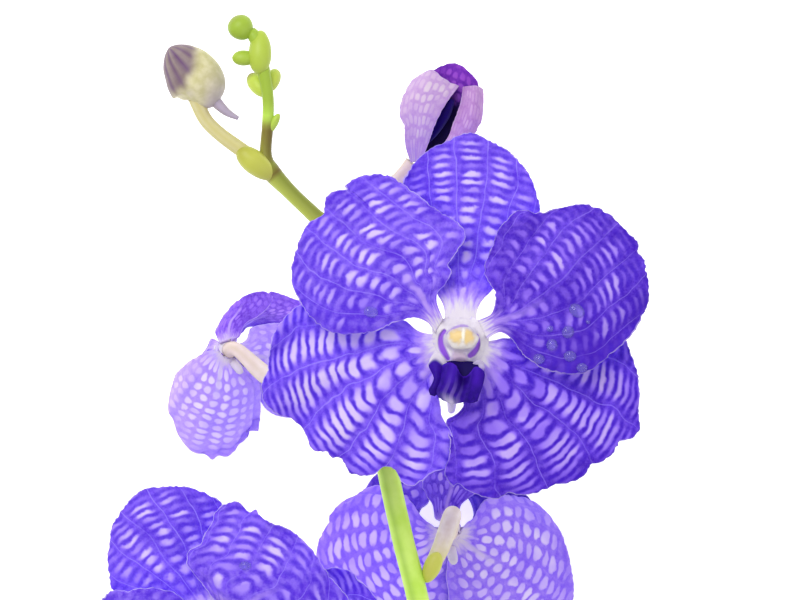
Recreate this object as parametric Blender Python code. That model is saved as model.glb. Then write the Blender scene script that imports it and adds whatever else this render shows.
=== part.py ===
# Cut vanda orchid: one spray with four open blooms, one half-open bloom, a large bud and a tip of
# small buds, lying on a surface at z = 0 with the front bloom facing up.
#
# Lengths are in millimetres until a mesh is made. Outlines give x and y as an eye above the front
# bloom sees them, in that bloom's plane, from the middle of the view. What lies lower looks
# smaller, so seen_at() sets it that much further out.

import math
from collections import namedtuple

import bmesh
import bpy
from mathutils import Matrix, Vector

MM = 0.001
EYE_DISTANCE = 1200.0       # eye to the plane of the front bloom
FRONT_HEIGHT = 86.0         # front bloom's middle above the surface
BOX_MIDDLE = Vector((-12.3, -90.2, 0.0))     # what the part is centred on
BLADE = 0.8                 # thickness of a sepal or petal
GAP = 0.35                  # between pieces that meet
SHARP_ANGLE = math.radians(50)
CURVE_STEPS = 12            # fine steps between two given points of a curve

STEM_SIDES = 10
PEDICEL_SIDES = 7
GROWTH_SIDES = 7
GROWTH_RINGS = 6

# What an open bloom is made of: its middle as seen, its height, the way it faces (1 up, -1 down),
# its turn in degrees, its size beside the front bloom, how steeply it falls towards +x, and the
# columns and rows of each blade.
Bloom = namedtuple("Bloom", "name middle height faces turn size fall grid")
FRONT = Bloom("front_bloom", (15.0, -11.25), FRONT_HEIGHT, 1, 0, 1.0, 0.0, (13, 9))
LOWER = Bloom("lower_bloom", (-45.5, -85.5), 74.0, 1, 27, 0.9, 0.0, (11, 8))
BACK = Bloom("back_bloom", (12.5, -58.0), 25.0, -1, 0, 0.62, 0.0, (10, 7))
SIDE = Bloom("side_bloom", (-43.0, -12.5), 27.0, -1, 16, 0.5, 0.5, (10, 7))
SIDE_CLAW_REACH = 1.25      # how far the side bloom's claws stay from its middle

# A sepal or petal, as seen: from its claw out along one edge, round its rim, and back in along
# the other edge. The ends of its claw come from CLAWS, or from BACK_CLAWS.
Outline = namedtuple("Outline", "out rim back")

# Heights over a blade, towards the side the bloom faces: at the claw, at the rim, the arch between
# them, the lift of both edges, the rise from the first edge to the last, and the waves of the rim.
Relief = namedtuple("Relief", "claw rim arch cup lean wave waves phase")

# Where the claws end round the middle of a bloom.
CLAWS = {
    "dorsal_sepal": ((-3.9, 5.75), (4.1, 5.75)),
    "petal_left": ((-6.25, 3.0), (-4.25, 6.5)),
    "petal_right": ((4.5, 6.2), (6.75, 1.4)),
    "lateral_sepal_left": ((-3.0, -5.0), (-6.5, 2.7)),
    "lateral_sepal_right": ((6.75, 1.0), (2.75, -5.0)),
}
DISC_CORNERS = [(-3.7, 5.4), (0.1, 5.4), (3.9, 5.4), (5.2, 3.6), (6.25, 1.2), (4.5, -1.7), (2.5, -4.7),
                (0.0, -4.7), (-2.7, -4.7), (-4.4, -1.1), (-6.0, 2.7), (-5.0, 4.3)]

FRONT_OUTLINES = {
    "dorsal_sepal": Outline(
        [(-4, 9.25), (-5.5, 12.25), (-9, 16.75), (-13.25, 23.75), (-16, 30.75)],
        [(-16.25, 36.25), (-14.5, 40.75), (-11.75, 45.5), (-8, 48.75), (-3.75, 51), (0, 52.75), (3, 53.25),
         (6.25, 51.75), (10, 50), (14.25, 46.75), (17.75, 42), (19.75, 36.25)],
        [(20, 30.75), (17.5, 24.25), (13, 18.25), (8.75, 14.25), (5.5, 11), (4.25, 8.25)]),
    "petal_left": Outline(
        [(-8, 5.5), (-11.25, 6.75), (-15.75, 5.75), (-20.75, 3.5), (-27, 2.5), (-32.5, 3.25), (-37, 6.25)],
        [(-40, 10.5), (-42.25, 16.25), (-41.75, 21.75), (-39.75, 27.5), (-37.5, 31), (-34.5, 32.75),
         (-33.5, 37.25), (-30.5, 38.75), (-28.25, 39), (-28.75, 40), (-26.25, 41.75), (-21.25, 43),
         (-17, 42.25)],
        [(-12, 38.75), (-5, 33.5), (-0.5, 30.75), (1.5, 28.25), (1.25, 26.25), (0, 24.25), (-2.5, 20.5),
         (-2, 18.25), (-3.75, 15), (-5.5, 13.25), (-5.75, 10.5)]),
    "petal_right": Outline(
        [(7.5, 7.5), (8.5, 9.5), (8.75, 12), (7.75, 14.75), (6.25, 17.25), (6, 19.25), (6.75, 22.25),
         (8, 24.75), (9.25, 28.25), (11.5, 31.25), (13.75, 33.25)],
        [(15.5, 34), (20.25, 33.4), (24.5, 34.25), (30.5, 35.4), (34.5, 34.5), (38.25, 32.25), (40.25, 30),
         (44.25, 26.25), (44.75, 24.5), (44.5, 23.25), (46.25, 21.25), (47, 17.5), (47.4, 12.5),
         (46.5, 8.75), (44, 4)],
        [(41.5, 0.75), (36, -4), (32, -6.75), (27.5, -7.4), (23, -6.75), (18.75, -5), (15.5, -2.25),
         (13.25, 1), (11.25, 2.75), (9.5, 3.1)]),
    "lateral_sepal_left": Outline(
        [(-4.75, -10), (-5, -13.25), (-4.75, -15.75), (-4, -18.75), (-3, -23.75), (-2.5, -27.5)],
        [(-2.75, -30.25), (-4.5, -31.25), (-7.75, -32.5), (-9.75, -34.5), (-12.25, -35.4), (-14.5, -34.5),
         (-15.75, -32), (-17.5, -30.5), (-19.25, -30.75), (-21.5, -32.4), (-24.25, -32.9), (-27.5, -32.1),
         (-28.75, -30), (-30.5, -28.1), (-32, -28.25), (-33.5, -26.9), (-36, -26.75), (-37.75, -25.25),
         (-38.25, -23.25), (-40, -20.5), (-42.5, -18.4), (-45.5, -17.5), (-48.5, -15), (-49.9, -11.5),
         (-49.25, -8.75), (-48.25, -6.25), (-48, -2.5), (-47, 2), (-45, 5.75)],
        [(-40.25, 10), (-34, 11.5), (-27, 10.75), (-20, 9), (-14.5, 6.6), (-12.5, 5.25), (-10.75, 3.75),
         (-8.75, 3)]),
    "lateral_sepal_right": Outline(
        [(8.75, 1.25), (10.75, 1.75), (13, 1.75), (17.5, 2.5), (23.75, 3.75), (31.25, 4.75), (37.5, 4.25)],
        [(41.75, 1), (43, -2.5), (44.5, -6.75), (45, -11.75), (44.75, -16.25), (45.1, -20.5), (44, -22.75),
         (42, -23.75), (40.25, -24.25), (38, -27.5), (35.5, -29.25), (32.75, -30.25), (31, -32.75),
         (27.5, -34.5), (23.75, -35), (21.25, -36.5), (17.5, -37.4), (14.5, -37.6), (12.25, -36.9),
         (10.75, -37.75), (9, -38.6), (5.75, -38), (2, -36.5), (-0.75, -34.9), (-1.75, -35.6),
         (-3.25, -33.75)],
        [(-4, -31.5), (-2.75, -27.5), (-3, -22.5), (-3.5, -18.9), (-1.5, -17.6), (0.25, -16), (1, -13.5),
         (1.75, -10.5)]),
}

LOWER_OUTLINES = {
    "dorsal_sepal": Outline(
        [(-9, 6.5), (-17, 9), (-24, 11)],
        [(-26.75, 13.25), (-27.5, 17.25), (-27.75, 21.5), (-27.25, 25), (-26.5, 29.25), (-24.25, 33),
         (-21.75, 36), (-18.75, 38.25), (-14, 39), (-8.75, 39), (-4, 37.75), (-0.5, 36)],
        [(1.25, 34.5), (3.5, 29), (3, 20), (2, 11)]),
    "petal_left": Outline(
        [(-8.5, -6), (-12.5, -11.5), (-18.5, -17), (-25, -20.5)],
        [(-30, -21), (-35, -18), (-38, -14.5), (-40.5, -8.5), (-40, -2), (-37, 4), (-34.5, 6.5),
         (-31.5, 8.5), (-29.25, 10.5)],
        [(-26.75, 13), (-23.5, 13), (-17.25, 13.75), (-13, 13.25), (-11, 12.5), (-8.5, 10.5), (-7.5, 7)]),
    "petal_right": Outline(
        [(0.5, 9), (-1, 10.5), (-3.5, 13.75), (-6.25, 17.25), (-8, 19.75), (-7.5, 22.75), (-4.5, 24.5),
         (-3.5, 27), (-1.5, 30), (-1, 32.25)],
        [(1.25, 34.5), (3.75, 35.25), (5.75, 34.75), (7.5, 32.75), (9.5, 33.25), (10.5, 31.75), (13.25, 30),
         (16.75, 28.75), (19.75, 27), (22.25, 24.5), (24.5, 22), (28.25, 16.25), (32.5, 11.25),
         (34.5, 6)],
        [(34.5, 0), (31, -4.5), (24, -5.5), (16, -3), (10, 1)]),
}
LOWER_FROM_FRONT = ("lateral_sepal_left", "lateral_sepal_right")

BACK_CLAWS = {
    "dorsal_sepal": ((-2.2, 4.0), (2.2, 4.0)),
    "petal_left": ((-4.5, 1.9), (-4.5, 0.1)),
    "petal_right": ((4.4, 0.1), (4.4, 1.9)),
    "lateral_sepal_left": ((-1.4, -3.6), (-3.7, -0.7)),
    "lateral_sepal_right": ((3.7, -0.7), (1.5, -3.6)),
}
BACK_OUTLINES = {
    "dorsal_sepal": Outline(
        [(-3.3, 5.2), (-4, 6.6), (-6, 9), (-7, 12.5), (-4, 18), (1, 22.5)],
        [(5.5, 27), (6.5, 32), (8.5, 37), (12.5, 41), (18, 43), (23.5, 42), (27.5, 38), (29, 32)],
        [(27.5, 26), (22.5, 19), (15, 13.5), (7.5, 10.2), (3.4, 7.4), (2.4, 5.6)]),
    "petal_left": Outline(
        [(-5.6, 1.2), (-7.2, 1.7), (-7.7, 3.6), (-7.2, 5.8), (-5.2, 7.8), (-6, 12)],
        [(-10, 15.5), (-14, 16.5), (-18.5, 14.5), (-22, 10), (-25.5, 5), (-28.5, -2), (-29, -9)],
        [(-26, -15), (-19, -14), (-12, -9), (-6, -3.5)]),
    "petal_right": Outline(
        [(6, -3.5), (12, -9), (18, -14), (24, -15.5)],
        [(27.5, -9.5), (27, -3), (24, 3.5), (20.5, 8), (16, 11.5), (12, 14.5), (8, 14.5)],
        [(4.6, 12.5), (3.4, 10), (4.6, 8.4), (5.7, 5.8), (5.7, 3.6), (5.2, 2.2)]),
    "lateral_sepal_left": Outline(
        [(-1, -7), (-0.4, -10.5), (1.6, -14), (2, -24), (1, -30)],
        [(-1, -33.5), (-6, -35), (-11, -33.5), (-16, -34), (-21, -32.5), (-26, -30), (-30, -25), (-33, -19),
         (-34, -12), (-33.25, -4.25), (-32.25, -0.75), (-30.5, 2), (-30, 4.25), (-27, 7.5), (-25.5, 7.25),
         (-22.5, 10)],
        [(-19, 11.75), (-13.5, 10.5), (-9.6, 7.5), (-8.8, 4.6), (-7.8, 1.6), (-5.6, 0.4)]),
    "lateral_sepal_right": Outline(
        [(5.4, 0.6), (6.8, 2.2), (7.4, 5), (8.6, 8), (13, 9.4)],
        [(19.5, 8.5), (22.5, 6.5), (26.25, 2.5), (28.5, -1.75), (30.25, -8), (31, -15), (30, -21),
         (27, -26), (22, -29.5), (18, -32), (13, -33), (9, -35), (4, -34.5), (0, -33)],
        [(-1.2, -30), (-1.2, -24), (-0.4, -16), (1, -12), (4.4, -9.5), (4.2, -6)]),
}

SIDE_OUTLINES = {
    "dorsal_sepal": Outline(
        [(-3.2, 4.4), (-2.3, 6.4)],
        [(-1.2, 8.5), (1.5, 11.7), (5.1, 14), (8.8, 14.7), (11.4, 13.4)],
        [(10.2, 10.8), (7.6, 8.4), (4.4, 6.9), (2.2, 5.6)]),
    "petal_left": Outline(
        [(-4.6, -2.2), (-5.4, -4)],
        [(-6.4, -4.6), (-6.9, -2.4), (-6.2, -0.6), (-4.9, 0.6)],
        [(-4.4, 2), (-4, 3)]),
    "petal_right": Outline(
        [(3.3, 4.4), (4.2, 5.5), (6, 5.9), (9, 5.8), (13.5, 4.5), (18.5, 3.5)],
        [(24, 4.5), (25.5, 8), (22.5, 11), (18.5, 12.2), (16, 13), (13, 14.1), (10.6, 14.6)],
        [(8, 12.6), (5, 9.8), (2.8, 7.2)]),
    "lateral_sepal_left": Outline(
        [(1, -5.2), (4, -6.4), (7.4, -7.6), (8.3, -10.5), (8.2, -14), (8.1, -17.5)],
        [(7.6, -20.3), (4.7, -20.5), (5, -22), (2.75, -23.75),
         (1.75, -25.25), (-0.25, -26.75), (-2.25, -26.5), (-4, -27.5), (-5.5, -26.25), (-8, -25.75),
         (-10, -24.5), (-12.5, -21), (-13.75, -17.25), (-15, -15), (-14.25, -9.75), (-13.25, -6.25)],
        [(-9.8, -2.9), (-6.6, -1), (-5, -0.2)]),
    "lateral_sepal_right": Outline(
        [(4.3, 1.5), (5.7, 2.1), (6.3, 3.8), (7.8, 6.2), (12, 6.6)],
        [(18, 5.6), (24, 2.5), (28, -2.5), (29, -8), (27, -13), (21.5, -16), (16, -17), (11.8, -16.4)],
        [(9.4, -14.6), (7.2, -11.6), (5.2, -9), (4.2, -6)]),
}

FRONT_RELIEF = {
    "dorsal_sepal": Relief(-0.8, -3.0, -0.6, 0.5, 0.0, 0.9, 2.5, 0.5),
    "petal_left": Relief(0.8, 3.6, 2.4, -0.8, 0.0, 1.1, 3.0, 2.0),
    "petal_right": Relief(0.8, 3.4, 2.2, -0.4, 0.0, 1.1, 3.0, 0.4),
    "lateral_sepal_left": Relief(-0.8, -3.4, -0.8, 0.0, 1.6, 1.2, 4.5, 0.0),
    "lateral_sepal_right": Relief(-0.8, -3.4, -0.8, 0.0, 1.6, 1.2, 4.5, 3.0),
}
LOWER_RELIEF = {
    "dorsal_sepal": Relief(-0.8, -4.0, -0.6, 0.5, 0.0, 0.8, 2.5, 1.5),
    "petal_left": Relief(0.8, 2.6, 2.0, -0.6, 0.0, 0.9, 3.0, 1.0),
    "petal_right": Relief(0.8, 4.4, 2.6, 0.0, 0.0, 0.8, 3.0, 2.6),
    "lateral_sepal_left": Relief(-0.8, -6.0, -0.8, 0.0, 1.6, 1.2, 4.0, 1.0),
    "lateral_sepal_right": Relief(-0.8, -6.0, -0.8, 0.0, 1.6, 1.2, 4.0, 2.0),
}
BACK_RELIEF = {
    "dorsal_sepal": Relief(-0.8, 37.0, -1.0, 0.0, 0.0, 0.6, 2.0, 0.0),
    "petal_left": Relief(1.3, 29.0, 1.5, 0.0, 0.0, 0.4, 2.0, 0.0),
    "petal_right": Relief(1.4, 29.0, 1.5, 0.0, 0.0, 0.4, 2.0, 1.0),
    "lateral_sepal_left": Relief(-0.8, 22.5, -2.5, 0.0, -5.0, 0.8, 3.5, 1.0),
    "lateral_sepal_right": Relief(-0.8, 21.0, -2.5, 0.0, -5.0, 0.8, 3.5, 0.0),
}
SIDE_RELIEF = {
    "dorsal_sepal": Relief(-0.8, 6.0, 0.0, 1.0, 0.0, 0.6, 1.5, 0.0),
    "petal_left": Relief(0.8, 22.0, 0.0, 0.0, 0.0, 0.4, 1.5, 0.0),
    "petal_right": Relief(0.8, 19.0, 1.5, 1.0, 0.0, 0.6, 2.0, 0.0),
    "lateral_sepal_left": Relief(-0.8, 31.0, -9.0, 0.0, 0.0, 0.8, 3.5, 0.0),
    "lateral_sepal_right": Relief(-0.8, 15.0, 2.0, 0.0, 13.0, 0.8, 2.0, 0.0),
}

# The lip's rings, from the spur's tip through its mouth to the end of the tongue: the middle of
# each, half its width and half its thickness.
LIP_RINGS = [
    ((-1.4, -16.4, -4.6), 0.6, 0.5), ((-1.3, -14.5, -5.0), 1.1, 0.9), ((-1.1, -11.5, -4.9), 1.4, 1.2),
    ((-0.8, -8.6, -3.6), 1.7, 1.5), ((-0.5, -6.9, -1.2), 2.0, 1.6), ((-0.3, -6.4, 1.6), 2.6, 1.2),
    ((-0.4, -6.9, 4.0), 3.6, 1.0), ((-0.6, -8.8, 5.8), 5.9, 0.8), ((-0.7, -11.2, 6.2), 6.6, 0.7),
    ((-0.7, -13.0, 5.8), 5.2, 0.6), ((-0.7, -14.3, 5.0), 2.8, 0.5),
]
LIP_SIDES = 10
LOBE_SIDES = 6
LOBE_SLANT = 0.3
LOBE_RINGS = [((2.0, -6.9, 2.8), 0.6, 0.7), ((3.9, -5.6, 3.2), 0.6, 1.2), ((4.8, -3.6, 3.7), 0.5, 1.7),
              ((4.9, -1.4, 4.3), 0.5, 1.8), ((4.8, 0.8, 4.5), 0.4, 1.2), ((4.7, 2.2, 4.4), 0.3, 0.5)]
COLUMN_RINGS = [((0.4, 1.6), 1.5, 3.4, 3.0), ((0.4, 1.7), 4.0, 3.1, 2.7), ((0.4, 1.8), 6.0, 3.5, 2.9),
                ((0.4, 1.8), 6.7, 2.6, 2.1)]
DISC_HALF_THICKNESS = 1.3
CAP_RINGS = [(7.05, 2.2, 1.7), (7.6, 2.7, 2.1), (8.5, 2.3, 1.8), (9.0, 1.2, 0.9)]
CAP_MIDDLE = (0.5, 1.9)

# Flower stem, from its cut end to its tip: seen x and y, height and radius.
STEM_PATH = [
    (36.0, -236.0, 2.8, 2.95), (31.5, -212.0, 9.4, 2.95), (24.5, -176.0, 19.0, 2.9), (17.0, -138.0, 29.5, 2.9),
    (11.0, -106.0, 38.5, 2.9), (4.5, -75.0, 45.0, 2.85), (0.75, -60.0, 46.5, 2.8), (-3.0, -43.0, 48.0, 2.75),
    (-6.25, -25.0, 49.5, 2.7), (-10.0, -5.0, 51.0, 2.6), (-14.25, 14.25, 52.5, 2.3), (-21.5, 21.25, 53.5, 2.0),
    (-27.5, 27.0, 54.3, 1.95), (-32.6, 32.6, 55.0, 2.4), (-33.6, 36.5, 55.4, 1.6), (-33.1, 43.5, 56.0, 1.5),
    (-33.0, 50.5, 56.6, 1.5), (-34.3, 58.5, 57.2, 1.7), (-35.6, 64.5, 57.6, 1.9), (-37.5, 67.2, 57.8, 1.5),
]
STEM_RINGS = 44

# Small buds and bracts that grow from the stem, each from its root to its tip, with its thickest
# radius. Their roots are sunk in the stem.
STEM_GROWTHS = [
    ((-38.0, 65.4, 57.4), (-41.6, 70.8, 58.2), 3.1),
    ((-35.6, 60.5, 57.0), (-42.0, 60.5, 57.6), 2.0),
    ((-34.4, 66.0, 57.4), (-35.5, 57.0, 57.8), 2.6),
    ((-33.3, 51.0, 55.4), (-37.6, 56.4, 51.8), 2.3),
    ((-33.2, 52.0, 55.6), (-30.8, 57.6, 52.4), 2.0),
    ((-33.4, 41.0, 55.6), (-30.2, 46.6, 57.0), 1.1),
    ((-31.6, 31.0, 55.4), (-38.4, 35.8, 57.6), 2.5),
    ((6.4, -70.5, 45.0), (9.6, -63.2, 48.4), 2.3),
]
# Shares of a growth's length, each with its share of the thickest radius.
GROWTH_WIDTHS = ((0.0, 0.45), (0.3, 0.85), (0.6, 1.0), (0.85, 0.72), (1.0, 0.2))

# Stalks of the blooms: seen x and y, height and radius, from the stem to the bloom.
PEDICELS = {
    "front_bloom": [(-9.6, -7.0, 51.0, 2.0), (-6.0, -6.0, 56.0, 1.9), (2.0, -7.0, 64.0, 1.7),
                    (10.5, -9.6, 72.5, 1.7)],
    "lower_bloom": [(10.0, -99.0, 39.5, 2.0), (0.0, -99.0, 46.0, 1.9), (-16.0, -96.0, 54.0, 1.7),
                    (-33.0, -90.5, 60.5, 1.7)],
    "back_bloom": [(7.6, -67.2, 45.5, 1.9), (10.4, -61.5, 45.5, 1.85), (12.6, -55.0, 43.0, 1.8),
                   (13.2, -54.0, 37.5, 1.8)],
    "side_bloom": [(-5.6, -32.6, 49.0, 1.9), (-14.0, -29.0, 47.0, 1.8), (-25.0, -23.8, 42.5, 1.7),
                   (-33.5, -18.8, 38.0, 1.75)],
    "half_open_bloom": [(-14.0, 14.0, 52.5, 1.9), (-9.5, 21.0, 55.5, 1.8), (-4.8, 26.4, 57.9, 1.7),
                        (0.0, 30.8, 58.9, 1.7), (3.05, 34.2, 59.7, 2.0)],
    "large_bud": [(-34.0, 33.6, 55.4, 1.8), (-42.0, 38.0, 56.4, 1.6), (-47.6, 42.4, 56.8, 1.4),
                  (-50.3, 45.6, 56.9, 1.4), (-50.1, 47.7, 57.0, 1.6)],
}
# The last straight of an open bloom's stalk, behind the bloom: its length and its two radii.
STALK_END = (5.0, 1.8, 2.1)
PEDICEL_RINGS = 13

# The half-open bloom's five blades close round a hollow; heights are towards the eye.
HALF_OPEN_MIDDLE = (4.2, 35.2)
HALF_OPEN_HEIGHT = 60.0
HALF_OPEN_GRID = (8, 7)
HALF_OPEN_BLADES = {
    "sepal_left": (((-1.6, -0.6), (1.0, -0.2)), Outline(
        [(-3.0, 4.0), (-3.2, 8.0), (-4.2, 10.5), (-4.2, 13.0), (-3.4, 16.0)],
        [(-1.2, 19.8), (3.5, 22.4), (6.0, 20.8), (8.2, 19.4), (10.6, 18.3)],
        [(7.2, 13.6), (4.6, 8.6), (2.9, 4.0)]), Relief(1.8, 4.4, 6.0, -2.4, 0.0, 0.2, 2.0, 0.0)),
    "sepal_right": (((1.4, -0.2), (3.6, 0.6)), Outline(
        [(7.0, 4.2), (9.4, 9.8), (11.0, 14.4)],
        [(11.6, 18.3), (14.6, 18.4), (16.6, 17.6)],
        [(16.6, 13.6), (16.0, 9.0), (13.4, 5.0), (8.6, 2.0)]),
        Relief(1.8, 4.2, 4.6, -2.2, 0.0, 0.2, 2.0, 0.0)),
    "dorsal_sepal": (((-0.6, 0.2), (3.0, 0.8)), Outline(
        [(-1.4, 6.0), (-1.2, 12.0), (0.6, 18.0)],
        [(4.2, 22.6), (8.8, 24.1), (12.4, 22.8), (15.4, 19.6)],
        [(15.4, 13.0), (12.0, 7.0), (7.0, 3.4)]), Relief(0.0, 0.4, -0.4, 0.0, 0.0, 0.2, 2.0, 0.0)),
    "petal_left": (((-1.8, 0.2), (0.8, 0.4)), Outline(
        [(-3.4, 4.2), (-3.6, 8.0), (-3.0, 14.0)],
        [(-0.4, 17.4), (2.2, 19.0), (4.4, 18.6)],
        [(5.0, 12.0), (4.0, 6.0)]), Relief(-1.9, -5.0, -4.0, 2.6, 0.0, 0.2, 2.0, 0.0)),
    "petal_right": (((1.2, 0.4), (3.8, 0.8)), Outline(
        [(5.2, 6.0), (6.8, 12.0)],
        [(8.4, 18.0), (12.0, 18.4), (15.4, 16.8)],
        [(15.8, 12.6), (15.0, 8.6), (12.0, 5.2), (7.6, 2.4)]),
        Relief(-1.9, -5.2, -3.6, 2.6, 0.0, 0.2, 2.0, 0.0)),
}
HALF_OPEN_LIP = [((6.8, 39.8, 61.7), 0.8), ((8.6, 42.6, 62.8), 1.5), ((11.0, 46.8, 63.2), 1.8),
                 ((12.8, 50.2, 63.0), 1.0)]
HALF_OPEN_LIP_RINGS = 7

LARGE_BUD = [((-49.9, 48.3, 57.0), 2.0), ((-49.6, 50.2, 57.0), 5.0), ((-50.2, 53.2, 57.0), 7.2),
             ((-52.6, 57.0, 57.0), 7.0), ((-55.4, 60.4, 57.0), 5.0), ((-57.2, 62.6, 57.0), 2.2)]
BUD_SPUR = [((-47.0, 50.6, 57.6), 1.7), ((-43.6, 47.2, 57.4), 1.1), ((-40.4, 45.4, 57.2), 0.5)]
BUD_SIDES = 12
BUD_RINGS = 10
SPUR_SIDES = 8
SPUR_RINGS = 6

COLOURS = {
    "tepal": (0.16, 0.08, 0.86, 1.0),
    "lip": (0.05, 0.01, 0.30, 1.0),
    "column": (0.80, 0.72, 0.82, 1.0),
    "anther_cap": (0.85, 0.66, 0.20, 1.0),
    "pedicel": (0.72, 0.66, 0.52, 1.0),
    "stem": (0.32, 0.50, 0.05, 1.0),
    "bud": (0.50, 0.46, 0.26, 1.0),
}
ROUGHNESS = {"lip": 0.35, "anther_cap": 0.4}
PLAIN_ROUGHNESS = 0.55


def material(name):
    found = bpy.data.materials.get(name)
    if found:
        return found
    made = bpy.data.materials.new(name)
    made.use_nodes = True
    shader = made.node_tree.nodes["Principled BSDF"]
    shader.inputs["Base Color"].default_value = COLOURS[name]
    shader.inputs["Roughness"].default_value = ROUGHNESS.get(name, PLAIN_ROUGHNESS)
    shader.inputs["Metallic"].default_value = 0.0
    return made


def widening(height):
    return 1.0 + (FRONT_HEIGHT - height) / EYE_DISTANCE


def seen_at(x, y, height):
    wider = widening(height)
    return Vector((x * wider, y * wider, height)) - BOX_MIDDLE


# Points at even distances along a smooth curve through the given ones.
def along(points, count):
    points = [Vector(point) for point in points]
    padded = [points[0]] + points + [points[-1]]
    fine = []
    for before, start, end, after in zip(padded, padded[1:], padded[2:], padded[3:]):
        for step in range(CURVE_STEPS):
            t = step / CURVE_STEPS
            square = 2 * before - 5 * start + 4 * end - after
            cube = 3 * start - 3 * end + after - before
            fine.append(0.5 * (2 * start + (end - before) * t + square * t ** 2 + cube * t ** 3))
    fine.append(points[-1])
    reach = [0.0]
    for a, b in zip(fine, fine[1:]):
        reach.append(reach[-1] + (b - a).length)
    even = []
    piece = 0
    for index in range(count):
        wanted = reach[-1] * index / (count - 1)
        while piece < len(fine) - 2 and reach[piece + 1] < wanted:
            piece += 1
        share = (wanted - reach[piece]) / max(reach[piece + 1] - reach[piece], 1e-9)
        even.append(fine[piece].lerp(fine[piece + 1], min(share, 1.0)))
    return even


def add_object(name, mesh, look, origin):
    obj = bpy.data.objects.new(name, mesh)
    obj.location = origin * MM
    mesh.materials.append(material(look))
    bpy.context.collection.objects.link(obj)
    return obj


# A closed solid through rings of points, with both ends filled.
def loft(name, rings, look, origin):
    bm = bmesh.new()
    loops = [[bm.verts.new((point - origin) * MM) for point in ring] for ring in rings]
    for near, far in zip(loops, loops[1:]):
        for index in range(len(near)):
            following = (index + 1) % len(near)
            bm.faces.new((near[index], near[following], far[following], far[index]))
    bm.faces.new(loops[0][::-1])
    bm.faces.new(loops[-1])
    bmesh.ops.recalc_face_normals(bm, faces=bm.faces)
    bmesh.ops.triangulate(bm, faces=bm.faces)
    mesh = bpy.data.meshes.new(name)
    bm.to_mesh(mesh)
    bm.free()
    mesh.shade_smooth()
    mesh.set_sharp_from_angle(angle=SHARP_ANGLE)
    return add_object(name, mesh, look, origin)


def ellipse(middle, across, up, sides):
    turns = [2 * math.pi * index / sides for index in range(sides)]
    return [middle + across * math.cos(turn) + up * math.sin(turn) for turn in turns]


# Rings along a path whose points end in a radius.
def tube_rings(path, count, sides):
    even = along(path, count)
    middles = [point.to_3d() for point in even]
    rings = []
    across = (middles[1] - middles[0]).orthogonal()
    for index, middle in enumerate(middles):
        ahead = (middles[min(index + 1, count - 1)] - middles[max(index - 1, 0)]).normalized()
        across = (across - ahead * across.dot(ahead)).normalized()
        radius = even[index][3]
        rings.append(ellipse(middle, across * radius, ahead.cross(across) * radius, sides))
    return rings


def seen_path(points):
    return [(*seen_at(x, y, height), radius) for x, y, height, radius in points]


# Turns, mirrors and sizes a point given for the front bloom to another bloom's own.
def for_bloom(bloom, x, y):
    side = x * bloom.faces
    turn = math.radians(bloom.turn)
    flat = 1 / math.hypot(1.0, bloom.fall)
    return (bloom.size * flat * (side * math.cos(turn) - y * math.sin(turn)),
            bloom.size * (side * math.sin(turn) + y * math.cos(turn)))


def outline_for_bloom(bloom, outline):
    return Outline(*[[for_bloom(bloom, *point) for point in part] for part in outline])


# Height over a blade, u from its first edge to its last and v from claw to rim.
def relief_at(relief, u, v):
    across = 2 * u - 1
    rim_wave = relief.wave * math.sin(2 * math.pi * relief.waves * u + relief.phase)
    return (relief.claw + (relief.rim - relief.claw) * v + relief.arch * math.sin(math.pi * v)
            + relief.cup * across ** 2 * v + relief.lean * (u - 0.5) * v + rim_wave * v ** 3)


# A blade between a claw, two edges and a rim. It starts as a flat grid, and each of its points is
# moved to its place between the four sides.
def blade(name, middle, height, faces, fall, claw, outline, relief, grid):
    columns, rows = grid
    out_edge = along([claw[0]] + outline.out + [outline.rim[0]], rows + 1)
    back_edge = along([claw[1]] + outline.back[::-1] + [outline.rim[-1]], rows + 1)
    rim = along(outline.rim, columns + 1)
    claw_start, claw_end = Vector(claw[0]), Vector(claw[1])
    origin = seen_at(*middle, height)
    bm = bmesh.new()
    bmesh.ops.create_grid(bm, x_segments=columns, y_segments=rows, size=0.5)
    bmesh.ops.triangulate(bm, faces=bm.faces, quad_method="FIXED")
    for vert in bm.verts:
        u, v = vert.co.x + 0.5, vert.co.y + 0.5
        column, row = round(u * columns), round(v * rows)
        from_sides = out_edge[row].lerp(back_edge[row], u)
        from_ends = claw_start.lerp(claw_end, u).lerp(rim[column], v)
        from_corners = claw_start.lerp(claw_end, u).lerp(rim[0].lerp(rim[-1], u), v)
        x, y = from_sides + from_ends - from_corners
        lift = faces * relief_at(relief, u, v) - fall * x
        level = max(height + lift, BLADE / 2)
        vert.co = (seen_at(middle[0] + x, middle[1] + y, level) - origin) * MM
    bmesh.ops.recalc_face_normals(bm, faces=bm.faces)
    mesh = bpy.data.meshes.new(name)
    bm.to_mesh(mesh)
    bm.free()
    mesh.shade_smooth()
    obj = add_object(name, mesh, "tepal", origin)
    solidify = obj.modifiers.new("Thickness", "SOLIDIFY")
    solidify.thickness = BLADE * MM
    solidify.offset = 0.0
    return obj


# The middle of a bloom, with z towards the side it faces.
def bloom_frame(bloom):
    size = bloom.size * widening(bloom.height)
    facing = Matrix.Rotation(math.pi, 4, "Y") if bloom.faces < 0 else Matrix.Identity(4)
    tipped = Matrix.Rotation(math.atan(bloom.fall), 4, "Y")
    turned = Matrix.Rotation(math.radians(bloom.turn) * bloom.faces, 4, "Z")
    place = Matrix.Translation(seen_at(*bloom.middle, bloom.height))
    return place @ tipped @ facing @ turned @ Matrix.Diagonal((size, size, size, 1.0))


def as_cutter(obj):
    obj.hide_render = True
    obj.display_type = "WIRE"
    return obj


def joined(target, *others):
    for other in others:
        union = target.modifiers.new("Joined", "BOOLEAN")
        union.operation = "UNION"
        union.object = other
        as_cutter(other)
    return target


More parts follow.
